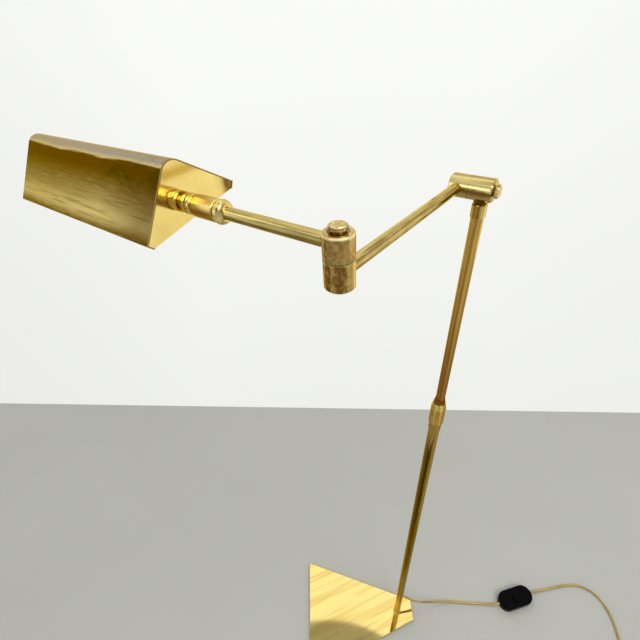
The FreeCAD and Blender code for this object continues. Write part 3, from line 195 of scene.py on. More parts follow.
class Nodes(Tree):
    """A material's node tree, with the patterns that the finishes are made of."""

    def __init__(self, name):
        self.material = bpy.data.materials.new(name)
        self.material.use_nodes = True
        super().__init__(self.material.node_tree)
        self.shader = self.tree.nodes["Principled BSDF"]

    def place(self, centre=ORIGIN, turn=(0, 0, 0)):
        """Object coordinates seen from a frame that is moved and turned."""
        where = self.add("ShaderNodeTexCoord").outputs["Object"]
        return self.add("ShaderNodeMapping", {
            "Vector": where, "Rotation": turn, "Location": centre,
        }, vector_type="TEXTURE").outputs["Vector"]

    def stretch(self, where, factors):
        """Coordinates multiplied axis by axis."""
        return self.add(
            "ShaderNodeVectorMath", {0: where, 1: factors}, operation="MULTIPLY").outputs[0]

    def noise(self, where, scale, detail=4, rough=0.6, twist=0.0, drawn=None):
        """Noise, drawn out along each axis whose factor is below 1."""
        if drawn:
            where = self.stretch(where, drawn)
        return self.add("ShaderNodeTexNoise", {
            "Vector": where, "Scale": scale, "Detail": detail, "Roughness": rough,
            "Distortion": twist}).outputs["Fac"]

    def streaks(self, where, drawn, scale=620):
        """Ragged streaks in a film."""
        return self.noise(where, scale, 4, 0.6, 0.2, drawn)

    def lines(self, where, drawn, scale):
        """Thin plain lines, as from wiping or turning."""
        return self.noise(where, scale, 2, 0.5, drawn=drawn)

    def above(self, value, low, high, most=1.0):
        """Nothing up to the low value, rising to the most at the high one."""
        return self.steps(value, (low, 0.0), (high, most))

    def specks(self, where, scale, low, high, most):
        """Scattered specks, where a coarse noise rises from low to high."""
        return self.above(self.noise(where, scale, 3, 0.7), low, high, most)

    def threads(self, value, thin, wide, most):
        """Thin lines where a noise passes its middle."""
        away = self.math("ABSOLUTE", self.math("SUBTRACT", value, 0.5))
        return self.steps(away, (thin, most), (wide, 0.0))

    def math(self, how, one, other=0.0, clamp=False):
        return self.add(
            "ShaderNodeMath", {0: one, 1: other}, operation=how, use_clamp=clamp).outputs[0]

    def plus(self, one, other, clamp=False):
        return self.math("ADD", one, other, clamp)

    def times(self, product, *factors):
        for factor in factors:
            product = self.math("MULTIPLY", product, factor)
        return product

    def sway(self, value, amount):
        """A noise value turned into a push of up to the amount either way."""
        return self.fit(value, 0.32, 0.68, -amount, amount)

    def axis(self, where, letter):
        return self.add("ShaderNodeSeparateXYZ", {"Vector": where}).outputs[letter]

    def around(self, where, facing, streak, waver, axes=("X", "Y")):
        """Ragged place about an axis from 0 to 1, where 0.5 is the side at the facing angle."""
        first, second = (self.axis(where, letter) for letter in axes)
        angle = self.math("SUBTRACT", self.math("ARCTAN2", second, first), facing)
        turned = self.add(
            "ShaderNodeMath", {0: angle, 1: pi, 2: -pi}, operation="WRAP").outputs[0]
        return self.plus(self.fit(turned, -pi, pi), self.sway(streak, waver))

    def bands(self, place, stops):
        """A ramp of colours or greys by their degrees from the facing side."""
        return self.steps(place, *(
            (0.5 + degrees / 360, value) for degrees, value in stops.items()))

    def gloss(self, one, other, low, high, share=0.5):
        """Roughness between low and high, after two patterns."""
        return self.fit(self.mix(share, one, other), 0, 1, low, high)

    def bump(self, height, strength, distance=0.0001):
        return self.add("ShaderNodeBump", {
            "Height": height, "Strength": strength, "Distance": distance}).outputs["Normal"]

    def finish(self, colour, metallic, roughness, normal=None, **more):
        given = {"Base Color": colour, "Metallic": metallic, "Roughness": roughness, **more}
        if normal is not None:
            given["Normal"] = normal
        for key, value in given.items():
            self.join(value, self.shader.inputs[key.replace("_", " ")])
        return self.material


def mixed(one, other, share):
    return tuple(a + (b - a) * share for a, b in zip(one, other))


# Brass finishes.
def turned_brass(
        name, bar, light, dark, bands, drawn=0.04, rough=(0.08, 0.18), cloudy=0.18, lines=0.22,
        spots=0.45, veins=0.0, patch=60, rim_highlight=None, rings=None):
    """Brass on a round bar, in ragged lengthwise bands of film and reflection round the axis.

    The bands are shares of the dark colour by degrees from the facing side, the side that faces
    the camera: partly a real brown film, partly painted reflection, the light and dark streaks
    that a mirror-bright bar shows of its surroundings. The rim is a painted highlight on a top
    bevel: (height where it starts, height where it is full, bright colour, dull colour), and the
    rings are colours by distance from the axis, shown on the rim, among them painted shade."""
    centre, facing, azimuth = bar
    level = azimuth is not None

    def along(factor):
        return (factor, 1, 1) if level else (1, 1, factor)

    n = Nodes(name)
    where = n.place(centre, (0, 0, azimuth or 0))
    streak = n.streaks(where, along(drawn))
    cloud = n.noise(where, patch)
    fine = n.lines(where, along(drawn), 1500)
    place = n.around(where, facing, streak, 0.018, ("Y", "Z") if level else ("X", "Y"))
    # The film share mixes real brown film with painted reflection: streaks placed by their angle
    # from the side that faces the camera.
    film = n.plus(n.bands(place, bands), n.sway(cloud, cloudy))
    film = n.plus(film, n.sway(fine, lines), clamp=True)
    colour = n.mix(film, light, dark)
    if veins:
        thread = n.threads(n.lines(where, along(drawn / 2), 380), 0.006, 0.024, veins)
        colour = n.mix(thread, colour, mixed(dark, BLACK, 0.4))
    speck = n.specks(where, 700, 0.66, 0.74, spots)
    colour = n.mix(speck, colour, mixed(dark, BROWN_SPOT, 0.5))
    # Painted highlight on the top bevel, bright and dull in ragged patches, with the rings on it.
    if rim_highlight:
        low, full, bright, dull = rim_highlight
        highlight_patches = n.plus(n.times(film, 0.5), n.times(cloud, 0.5))
        top = n.steps(highlight_patches, (0.42, bright), (0.62, dull))
        if rings:
            flat = n.stretch(where, (1, 1, 0))
            reach = n.add("ShaderNodeVectorMath", {0: flat}, operation="LENGTH").outputs["Value"]
            top = n.mix(0.75, top, n.steps(n.fit(reach, 0.0, 0.02), *rings.items()))
        colour = n.mix(n.fit(n.axis(where, "Z"), low, full), colour, top)
    normal = n.bump(n.mix(0.5, fine, streak), 0.1)
    return n.finish(
        colour, 1.0, n.gloss(streak, cloud, *rough), normal, Specular_Tint=EDGE_TINT)


def clouded_brass(name, light, dark, rough=(0.12, 0.24), scale=60, spots=0.6):
    """Brass under an uneven film, with brown spots and rubbed patches."""
    n = Nodes(name)
    where = n.place()
    cloud = n.noise(where, scale, 5, 0.65, 0.6)
    colour = n.mix(n.above(cloud, 0.4, 0.62), light, dark)
    speck = n.specks(where, 520, 0.62, 0.72, spots)
    colour = n.mix(speck, colour, mixed(dark, BROWN_SPOT, 0.5))
    scratches = n.lines(where, (1, 1, 0.12), 2100)
    return n.finish(
        colour, 1.0, n.gloss(cloud, scratches, *rough, share=0.4), n.bump(scratches, 0.08),
        Specular_Tint=EDGE_TINT)


def plate_polish(name, bright):
    """Mirror-polished plate with long, thin and evenly spaced wiping marks."""
    n = Nodes(name)
    where = n.place(turn=(0, 0, WIPING_AZIMUTH))
    wipes = n.noise(where, 34, 2, 0.45, 0.1, (0.05, 1, 1))
    fine = n.lines(where, (0.02, 1, 1), 700)
    cloud = n.noise(where, 14, 3, 0.5)
    dull = mixed(bright, (0.5, 0.3, 0.05), 0.55)
    mark = n.threads(wipes, 0.012, 0.035, 1.0)
    smear = n.lines(where, (0.07, 1, 1), 62)
    colour = bright
    for amount in (
        n.times(mark, 0.55), n.above(smear, 0.5, 0.62, 0.5), n.above(fine, 0.52, 0.75, 0.25),
    ):
        colour = n.mix(amount, colour, dull)
    colour = n.mix(n.specks(where, 420, 0.7, 0.76, 0.45), colour, (0.4, 0.24, 0.06))
    roughness = n.gloss(cloud, fine, 0.02, 0.06, share=0.6)
    return n.finish(colour, 1.0, roughness, n.bump(n.mix(0.5, wipes, fine), 0.03))


def polished_end(name, bright):
    """Polished end plate of the shade, with a few specks and darker brown across its far tip."""
    n = Nodes(name)
    where = n.place(*SHADE_PLACE)
    cloud = n.noise(where, 42, 4, 0.6, 0.4)
    grain = n.lines(where, (1, 0.2, 1), 2400)
    dull = mixed(bright, (0.55, 0.38, 0.1), 0.45)
    colour = n.mix(n.above(cloud, 0.4, 0.75, 0.6), bright, dull)
    speck = n.above(n.noise(where, 520, 2, 0.6), 0.71, 0.76, 0.8)
    colour = n.mix(speck, colour, (0.3, 0.17, 0.05))
    across = n.plus(n.axis(where, "Y"), n.sway(cloud, 0.002))
    tip = n.fit(across, -0.0395, -0.042, 0.0, 0.8)
    colour = n.mix(tip, colour, (0.34, 0.23, 0.06))
    return n.finish(colour, 1.0, n.gloss(cloud, grain, 0.06, 0.14), n.bump(grain, 0.05))


def shade_film(name, gold, light, dark):
    """Brown film on the shade: dark under a light line at the ridge, fading downwards."""
    bottom, ridge = -0.0095, 0.0345
    near_lip, lip_blur = 0.1442, 0.0004
    mauve = (0.52, 0.47, 0.42)
    dark_shares = {
        0.045: 0.9, 0.11: 0.38, 0.177: 0.0, 0.25: 0.08, 0.3: 0.26, 0.384: 0.52, 0.443: 0.62,
        0.505: 0.7, 0.566: 0.79, 0.64: 0.88, 0.7: 0.94, 0.8: 1.0, 0.918: 1.0}
    n = Nodes(name)
    where = n.place(*SHADE_PLACE)
    length = n.axis(where, "X")
    streak = n.streaks(where, (0.05, 1, 1), 420)
    broad = n.noise(where, 34, 3, 0.5, 0.2, (0.22, 1, 1))
    fine = n.lines(where, (0.03, 1, 1), 1900)
    wavy = n.plus(n.axis(where, "Z"), n.sway(broad, 0.0006))
    level = n.fit(n.plus(wavy, n.sway(streak, 0.0005)), bottom, ridge)
    colour = n.steps(
        level, *((at, mixed(light, dark, share)) for at, share in dark_shares.items()),
        (0.938, gold), (0.956, gold), (0.972, mauve))
    below = n.fit(level, 0.8, 0.5)
    ragged = n.plus(length, n.sway(broad, 0.012))
    olive = n.noise(where, 70, 4, 0.6, 0.4, (0.5, 1, 1))
    for amount, other in (
        # Stains and rubbed lines on the lower half.
        (n.times(n.above(streak, 0.5, 0.66, 0.55), below), mixed(light, dark, 0.9)),
        (n.times(n.above(fine, 0.5, 0.7, 0.35), below), mixed(light, gold, 0.5)),
        # A darker near end, with olive patches under the ridge.
        (n.times(n.fit(ragged, 0.215, 0.15), 0.62, n.fit(level, 0.91, 0.87)),
         mixed(dark, BLACK, 0.45)),
        (n.times(n.above(olive, 0.48, 0.6, 0.85), n.fit(level, 0.5, 0.72),
                 n.fit(level, 0.92, 0.9), n.fit(ragged, 0.235, 0.195)), (0.045, 0.032, 0.005)),
        # Chips along the ridge, the cut edge of the near lip, and specks all over.
        (n.times(n.specks(where, 900, 0.52, 0.62, 0.8), n.fit(level, 0.93, 0.96),
                 n.fit(length, 0.23, 0.17)), (0.22, 0.13, 0.06)),
        (n.fit(length, near_lip + lip_blur, near_lip - lip_blur), (0.34, 0.22, 0.07)),
        (n.specks(where, 480, 0.7, 0.78, 0.5), mixed(dark, BLACK, 0.3)),
    ):
        colour = n.mix(amount, colour, other)
    return n.finish(
        colour, 1.0, n.gloss(streak, broad, 0.2, 0.34), n.bump(n.mix(0.5, fine, streak), 0.1),
        Specular_Tint=SHADE_EDGE_TINT)


def pole_patterns(name, cloud_factor, waver):
    """A pole's height, streaks and clouds, and the ragged place about it."""
    centre, facing, _ = POLE_BAR
    n = Nodes(name)
    where = n.place(centre)
    streak = n.streaks(where, (1, 1, 0.04))
    cloud = n.noise(where, 60, drawn=(1, 1, cloud_factor))
    return n, n.axis(where, "Z"), streak, cloud, n.around(where, facing, streak, waver)


def pole_finish(n, colour, streak, cloud):
    return n.finish(
        colour, 1.0, n.gloss(streak, cloud, 0.1, 0.2), n.bump(streak, 0.08),
        Specular_Tint=EDGE_TINT)


def upper_pole_film(name, light, dark):
    """Upper pole: bands of film and painted reflection that turn orange-brown towards the clamp."""
    n, height, streak, cloud, place = pole_patterns(name, 0.3, 0.015)
    # Bands by angle from the side that faces the camera: brown film and painted reflection streaks.
    film = n.bands(place, {
        -60: 1.0, -42: 0.95, -30: 0.45, -19: 0.6, -9: 1.0, 2: 1.0, 10: 0.5, 19: 0.05, 30: 0.4,
        44: 0.65, 60: 0.6})
    film = n.plus(film, n.sway(cloud, 0.15), clamp=True)
    rust_and_reflection = n.mix(film, (0.5, 0.25, 0.075), (0.31, 0.12, 0.016))
    up = n.fit(n.plus(height, n.sway(cloud, 0.02)), 0.95, 1.13)
    return pole_finish(n, n.mix(up, rust_and_reflection, n.mix(film, light, dark)), streak, cloud)


def lower_pole_film(name, light, dark, gold):
    """Lower pole: dark long streaks in its upper half, olive below and gold at the foot.
    The streaks are brown film and painted reflection, by angle from the camera's side.
    """
    n, height, streak, cloud, place = pole_patterns(name, 0.15, 0.02)
    # Bands by angle from the side that faces the camera: brown film and painted reflection streaks.
    strip, dense, sparse, foot = (n.bands(place, stops) for stops in (
        {-60: 0.55, -25: 0.75, -5: 1.0, 8: 0.95, 28: 0.3, 42: 0.0},
        {-60: 0.75, -42: 0.97, -20: 1.0, 0: 0.85, 25: 0.6, 60: 0.55},
        {-60: 0.9, -38: 1.0, -20: 0.7, 0: 0.2, 15: 0.25, 40: 0.5},
        {-45: gold, -28: gold, 0: mixed(gold, dark, 0.45), 35: mixed(gold, dark, 0.85)},
    ))
    height = n.plus(height, n.sway(streak, 0.03))
    upper = n.mix(n.fit(height, 0.52, 0.62), dense, strip)
    film = n.mix(n.fit(height, 0.26, 0.36), sparse, upper)
    film = n.times(film, n.fit(height, 0.805, 0.832, 1.0, 0.1))
    film = n.plus(film, n.fit(cloud, 0, 1, -0.12, 0.22), clamp=True)
    colour = n.mix(n.fit(height, 0.1, 0.15), foot, n.mix(film, light, dark))
    return pole_finish(n, colour, streak, cloud)


# Other finishes.
def gloss_plastic(name, colour):
    n = Nodes(name)
    where = n.place()
    wave = n.noise(where, 90, 3, 0.5)
    dust = n.above(n.noise(where, 1600, 2, 0.6), 0.66, 0.8, 0.08)
    shade = n.mix(dust, colour, (0.05, 0.05, 0.05))
    return n.finish(
        shade, 0.0, n.fit(wave, 0, 1, 0.1, 0.24), n.bump(wave, 0.03, 0.0004), IOR=1.12)


def cord_sheath(name, colour):
    """Smooth gold-coloured sheath, a little darker where it has been handled."""
    n = Nodes(name)
    where = n.place()
    cloud = n.noise(where, 22)
    fine = n.noise(where, 1400, 2, 0.5)
    darker = mixed(colour, (0.1, 0.07, 0.02), 0.55)
    shade = n.mix(n.above(cloud, 0.42, 0.66, 0.8), colour, darker)
    return n.finish(shade, 0.25, n.gloss(cloud, fine, 0.24, 0.42), n.bump(fine, 0.05))


def plain_plastic(name, colour, low=0.35, high=0.55):
    n = Nodes(name)
    where = n.place()
    grain = n.noise(where, 1100, 3, 0.6)
    cloud = n.noise(where, 80, 3, 0.5)
    shade = n.mix(n.above(cloud, 0.3, 0.8, 0.4), colour, mixed(colour, BLACK, 0.3))
    return n.finish(shade, 0.0, n.fit(grain, 0, 1, low, high), n.bump(grain, 0.1))


def plated_steel(name, colour=GREY_STEEL):
    n = Nodes(name)
    where = n.place()
    cloud = n.noise(where, 140)
    lines = n.lines(where, (1, 1, 0.1), 1800)
    darker = mixed(colour, (0.2, 0.18, 0.15), 0.5)
    shade = n.mix(n.above(cloud, 0.35, 0.75, 0.6), colour, darker)
    return n.finish(shade, 1.0, n.gloss(cloud, lines, 0.24, 0.42), n.bump(lines, 0.1))


def dense_felt(name):
    n = Nodes(name)
    fibre = n.noise(n.place(), 1500, 5, 0.8, 1.2, (1, 0.4, 1))
    shade = n.steps(fibre, (0.3, (0.012, 0.012, 0.012)), (0.75, (0.06, 0.06, 0.055)))
    return n.finish(shade, 0.0, 0.95, n.bump(fibre, 0.6, 0.0004), Sheen_Weight=0.3)


def frosted_glass(name):
    n = Nodes(name)
    haze = n.noise(n.place(), 60)
    shade = n.steps(haze, (0.3, (0.9, 0.9, 0.88)), (0.8, (0.97, 0.97, 0.96)))
    return n.finish(
        shade, 0.0, n.fit(haze, 0, 1, 0.22, 0.36), IOR=1.45, Transmission_Weight=0.55)


def chosen(name):
    """A colour from the settings."""
    return tuple(getattr(bpy.context.scene.lamp_finishes, name))


def wear(material, *names):
    """Gives CAD nodes their finish."""
    for name in names:
        mesh = NODES[name].data
        if not mesh.materials:
            mesh.materials.append(material)
        for index in range(len(mesh.materials)):
            mesh.materials[index] = material


def placed(name, data):
    """A new object with this data, linked to the scene."""
    made = bpy.data.objects.new(name, data)
    bpy.context.scene.collection.objects.link(made)
    return made


# Camera, at the photograph's place and angle.
class LAMP_OT_camera(bpy.types.Operator):
    """Set the camera where the photograph was taken"""
    bl_idname = "reading_lamp.camera"
    bl_label = "Camera"

    def execute(self, context):
        photo_width, focal_length = 640, 381.03
        off_centre = 0.5 / photo_width
        right = Vector((0.99798, -0.02576, -0.05803))
        up = Vector((0.0616, 0.61462, 0.78641))
        ahead = Vector((-0.01541, 0.78841, -0.61497))
        data = bpy.data.cameras.new("lamp_camera")
        data.sensor_width = 36
        data.lens = focal_length * data.sensor_width / photo_width
        data.shift_x, data.shift_y = -off_centre, off_centre
        data.clip_start = 0.01
        data.dof.use_dof = False
        matrix = Matrix((right, up, -ahead)).transposed().to_4x4()
        matrix.translation = Vector((-0.148, -0.3393, 1.3267))
        camera = placed("lamp_camera", data)
        camera.matrix_world = matrix
        context.scene.camera = camera
        return {"FINISHED"}


# Cord.
def cord_curve(name, points, diameter, material):
    """A round cord on one smooth spline with these control points, in metres."""
    data = bpy.data.curves.new(name, "CURVE")
    data.dimensions = "3D"
    spline = data.splines.new("NURBS")
    spline.points.add(len(points) - 1)
    for point, place in zip(spline.points, points):
        point.co = (*place, 1)
    spline.order_u = 3
    spline.use_endpoint_u = True
    spline.resolution_u = 8
    data.bevel_depth = diameter / 2
    data.bevel_resolution = 5
    data.use_fill_caps = True
    data.materials.append(material)
    return placed(name, data)


# Places, directions and lengths along the cord, in metres.
OUTLET_TIP = Vector((0.00936, 0.00936, 0.09731))
OUTLET_WAY = Vector((0.40558, 0.40558, -0.81915))
SWITCH_CENTRE = Vector((0.3375, 0.015, 0.0082))
SWITCH_WAY = heading(radians(12.5))
SWITCH_END = 0.0515
SWITCH_GRIP = 0.03104
COIL_CENTRE = Vector((0.52, -0.146, 0))
COIL_START = Vector((0.56213, -0.1405, 0.00365))
COIL_START_WAY = Vector((-0.02273, -0.99974, 0))
COIL_END_WAY = Vector((-0.99972, -0.02357, 0))
PLUG_TAIL = Vector((0.47051, -0.18767, 0.0068))


def pole_to_switch():
    """Down out of the pole, along the floor and up into the switch."""
    return [
        OUTLET_TIP, OUTLET_TIP + OUTLET_WAY * 0.006,
        (0.0152, 0.0127, 0.0869), (0.0201, 0.0124, 0.0799), (0.0259, 0.0114, 0.0726),
        (0.0322, 0.0102, 0.0653), (0.0396, 0.0094, 0.0576), (0.051, 0.0092, 0.0469),
        (0.065, 0.0103, 0.0359), (0.081, 0.0117, 0.0263), (0.099, 0.0134, 0.0182),
        (0.119, 0.015, 0.0116), (0.141, 0.0159, 0.0066), (0.165, 0.0152, 0.0036),
        (0.19, 0.0124, 0.0028), (0.214, 0.0096, 0.0028), (0.236, 0.0079, 0.0032),
        (0.256, 0.0059, 0.0046), (0.273, 0.0036, 0.0066),
        SWITCH_CENTRE - SWITCH_WAY * SWITCH_END,
        SWITCH_CENTRE - SWITCH_WAY * SWITCH_GRIP,
    ]


def switch_to_coil():
    """Out of the switch, in a wide bend on the floor to where the coil starts."""
    return [
        SWITCH_CENTRE + SWITCH_WAY * SWITCH_GRIP,
        SWITCH_CENTRE + SWITCH_WAY * SWITCH_END,
        (0.404, 0.0296, 0.0052), (0.422, 0.0322, 0.0034), (0.444, 0.0346, 0.0028),
        (0.47, 0.0384, 0.0028), (0.5, 0.042, 0.0028), (0.53, 0.0405, 0.0028),
        (0.557, 0.028, 0.0028), (0.574, 0.004, 0.0028), (0.58, -0.026, 0.0028),
        (0.577, -0.058, 0.0028), (0.569, -0.088, 0.0028),
        COIL_START - COIL_START_WAY * 0.024,
    ]


def coil_to_plug(coil_end):
    """Off the top of the coil and level into the plug."""
    return [
        coil_end + COIL_END_WAY * 0.009,
        Vector((coil_end.x, coil_end.y, 0.0086)) + COIL_END_WAY * 0.02,
        PLUG_TAIL - COIL_END_WAY * 0.011,
        PLUG_TAIL,
    ]


def coil_points(cord):
    """Three turns in on the floor, a climb, and out again on top."""
    turns_in, climb_turns, turns_out = 3.0, 0.5, 2.75
    points_per_turn = 16
    # The spline runs a little inside its points.
    spline_pull = 1.009
    pitch = cord.diameter + cord.coil_gap
    outer = cord.coil_mid_diameter / 2 + pitch * turns_in / 2
    inner = outer - pitch * turns_in
    low = cord.diameter / 2 + 0.0012
    points = []
    for step in range(int((turns_in + climb_turns + turns_out) * points_per_turn) + 1):
        turn = step / points_per_turn
        if turn <= turns_in:
            radius, height = outer - pitch * turn, low
        elif turn <= turns_in + climb_turns:
            climb = (turn - turns_in) / climb_turns
            radius = inner - pitch * sin(pi * climb) / (2 * pi)
            height = low + pitch * (3 - 2 * climb) * climb * climb
        else:
            radius = inner + pitch * (turn - turns_in - climb_turns)
            height = low + pitch
        radius *= spline_pull
        angle = -2 * pi * turn
        points.append(COIL_CENTRE + Vector((
            radius * cos(angle), radius * sin(angle), height)))
    return points


def mesh_object(name, mesh, material, smooth=True):
    data = bpy.data.meshes.new(name)
    mesh.to_mesh(data)
    mesh.free()
    for face in data.polygons:
        face.use_smooth = smooth and len(face.vertices) <= 4
    data.materials.append(material)
    return placed(name, data)


def tube(name, rings, corners, material):
    """A capped tube through rings of (centre, side, up, radius)."""
    mesh = bmesh.new()
    angles = [2 * pi * k / corners for k in range(corners)]
    rows = [
        [mesh.verts.new(centre + (side * cos(a) + up * sin(a)) * radius) for a in angles]
        for centre, side, up, radius in rings]
    for one, other in zip(rows, rows[1:]):
        for k, corner in enumerate(one):
            following = (k + 1) % corners
            mesh.faces.new((corner, one[following], other[following], other[k]))
    mesh.faces.new(rows[0])
    mesh.faces.new(rows[-1])
    bmesh.ops.recalc_face_normals(mesh, faces=mesh.faces)
    return mesh_object(name, mesh, material)


def relief_sleeve(name, length, material):
    """A tapered, ribbed sleeve round the cord where it enters the plug."""
    wide, narrow, groove = 0.0046, 0.0031, 0.00045
    count = 25
    side = COIL_END_WAY.cross(Vector((0, 0, 1))).normalized()
    up = side.cross(COIL_END_WAY)
    rings = []
    for row in range(count):
        share = row / (count - 1)
        radius = wide + (narrow - wide) * share
        if row % 4 in (2, 3) and 2 < row < count - 2:
            radius -= groove
        rings.append((PLUG_TAIL - COIL_END_WAY * (length * share), side, up, radius))
    return tube(name, rings, 32, material)


def button_spring():
    """The coiled spring under the switch's button."""
    wire, turns, steps_per_turn, clearance = 0.00035, 3, 24, 0.0002
    low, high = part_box("switch_spring")
    foot = Vector(((low.x + high.x) / 2, (low.y + high.y) / 2, low.z))
    tall = high.z - low.z
    radius = (high.x - low.x) / 2 - wire
    up = Vector((0, 0, 1))
    count = turns * steps_per_turn
    rings = []
    for step in range(count + 1):
        out = heading(2 * pi * step / steps_per_turn)
        climb = wire + (tall - 2 * wire) * step / count
        rings.append((foot + out * radius + up * climb, out, up, wire))
    spring = tube("button_spring", rings, 8, plated_steel("button_spring_steel"))
    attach(spring, "base")
    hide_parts("switch_spring")
    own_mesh(spring)
    return spring


class LAMP_OT_cord(bpy.types.Operator):
    """Lay the cord from the pole to the switch, and on to its coil and plug"""
    bl_idname = "reading_lamp.cord"
    bl_label = "Cord"

    def execute(self, context):
        cord = context.scene.lamp_cord
        sheath = cord_sheath("cord_sheath", chosen("cord_colour"))
        black = gloss_plastic("plug_gloss", chosen("switch_black"))
        first = cord_curve("cord_to_switch", pole_to_switch(), cord.diameter, sheath)
        turns = coil_points(cord)
        route = switch_to_coil() + turns + coil_to_plug(turns[-1])
        second = cord_curve("cord_to_plug", route, cord.diameter, sheath)
        relief = relief_sleeve("plug_relief", cord.relief_length, black)
        for piece, nodes in (
            (first, ("cord_pole_to_switch",)),
            (second, ("cord_switch_to_coil", "cord_coil", "cord_coil_to_plug")),
        ):
            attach(piece, "base")
            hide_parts(*nodes)
        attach(relief, "base")
        switch = [
            NODES[name] for name in NODES if name.startswith("switch_") and name != "switch_spring"]
        switch.append(button_spring())
        wear(black, "plug_body")
        return {"FINISHED"}


# Knurled heads of the joint screws.
def ridge_tree(name, material):
    """A ring of fine upright ridges, turned so that local Z is the ring's axis."""
    t = Tree(bpy.data.node_groups.new(name, "GeometryNodeTree"))
    for label, way, kind in (
        ("Geometry", "INPUT", "Geometry"), ("Ridges", "INPUT", "Int"),
        ("Radius", "INPUT", "Float"), ("Height", "INPUT", "Float"), ("Ridge", "INPUT", "Float"),
        ("Centre", "INPUT", "Vector"), ("Turn", "INPUT", "Vector"),
        ("Geometry", "OUTPUT", "Geometry"),
    ):
        t.tree.interface.new_socket(label, in_out=way, socket_type="NodeSocket" + kind)
    given = t.add("NodeGroupInput").outputs
    ring = t.add(
        "GeometryNodeMeshCircle", {"Vertices": given["Ridges"], "Radius": given["Radius"]})
    bar = t.add("GeometryNodeMeshCylinder", {
        "Vertices": 6, "Radius": given["Ridge"], "Depth": given["Height"]})
    copies = t.add("GeometryNodeInstanceOnPoints", {
        "Points": ring.outputs["Mesh"], "Instance": bar.outputs["Mesh"]})
    moved = t.add("GeometryNodeTransform", {
        "Geometry": copies.outputs["Instances"], "Translation": given["Centre"],
        "Rotation": given["Turn"]})
    real = t.add("GeometryNodeRealizeInstances", {"Geometry": moved.outputs["Geometry"]})
    paint = t.add("GeometryNodeSetMaterial", {
        "Geometry": real.outputs["Geometry"], "Material": material})
    t.add("NodeGroupOutput", {"Geometry": paint.outputs["Geometry"]})
    return t.tree


def from_tree(name, tree, values):
    """Evaluates a tree once and keeps the result as a plain mesh."""
    host = placed(name, bpy.data.meshes.new(name + "_host"))
    modifier = host.modifiers.new(name, "NODES")
    modifier.node_group = tree
    for item in tree.interface.items_tree:
        if item.in_out == "INPUT" and item.name in values:
            modifier[item.identifier] = values[item.name]
    bpy.context.view_layer.update()
    depsgraph = bpy.context.evaluated_depsgraph_get()
    made = bpy.data.meshes.new_from_object(host.evaluated_get(depsgraph))
    made.name = name
    host.modifiers.remove(modifier)
    host.data = made
    return host


class LAMP_OT_heads(bpy.types.Operator):
    """Cut the knurl round the heads of the joint screws"""
    bl_idname = "reading_lamp.heads"
    bl_label = "Screw heads"

    def execute(self, context):
        head_radius, sunk = 0.0059, 0.00025
        elbow_head_height, hinge_head_reach = 1.23215, 0.01315
        detail = context.scene.lamp_details
        brass = clouded_brass(
            "knurl_brass", chosen("bright_brass"), chosen("dark_brass"), (0.2, 0.4), 300)
        tree = ridge_tree("knurl_ridges", brass)
        hinge_head = Vector((0, 0, ELBOW.z)) + heading(HINGE_AZIMUTH) * hinge_head_reach
        heads = (
            ("elbow_knurl", (ELBOW.x, ELBOW.y, elbow_head_height), ORIGIN),
            ("hinge_knurl", tuple(hinge_head), (0, pi / 2, HINGE_AZIMUTH)),
        )
        for name, centre, turn in heads:
            piece = from_tree(name, tree, {
                "Ridges": detail.knurl_ridges,
                "Radius": head_radius - sunk + detail.knurl_height,
                "Height": 0.0022,
                "Ridge": 0.00032,
                "Centre": centre,
                "Turn": turn,
            })
            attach(piece, "arm_1")
        return {"FINISHED"}


# Finishes of the CAD pieces, group by group.
def top_of(node):
    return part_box(node)[1][2]


class LAMP_OT_foot(bpy.types.Operator):
    """Finish the foot plate, its felt and its fixing"""
    bl_idname = "reading_lamp.foot"
    bl_label = "Foot"

    def execute(self, context):
        bright, aged, dark = (chosen(shade + "_brass") for shade in ("bright", "aged", "dark"))
        reddish = mixed(aged, (0.6, 0.25, 0.05), 0.5)
        wear(plate_polish("plate_polish", chosen("plate_brass")), "base_plate")
        wear(dense_felt("dense_felt"), "felt_pad")
        wear(clouded_brass("ring_brass", bright, reddish), "foot_ring")
        wear(plated_steel("fixing_steel", (0.55, 0.55, 0.56)), "base_nut", "base_washer")
        wear(clouded_brass("plug_brass", aged, dark), "foot_plug")
        return {"FINISHED"}


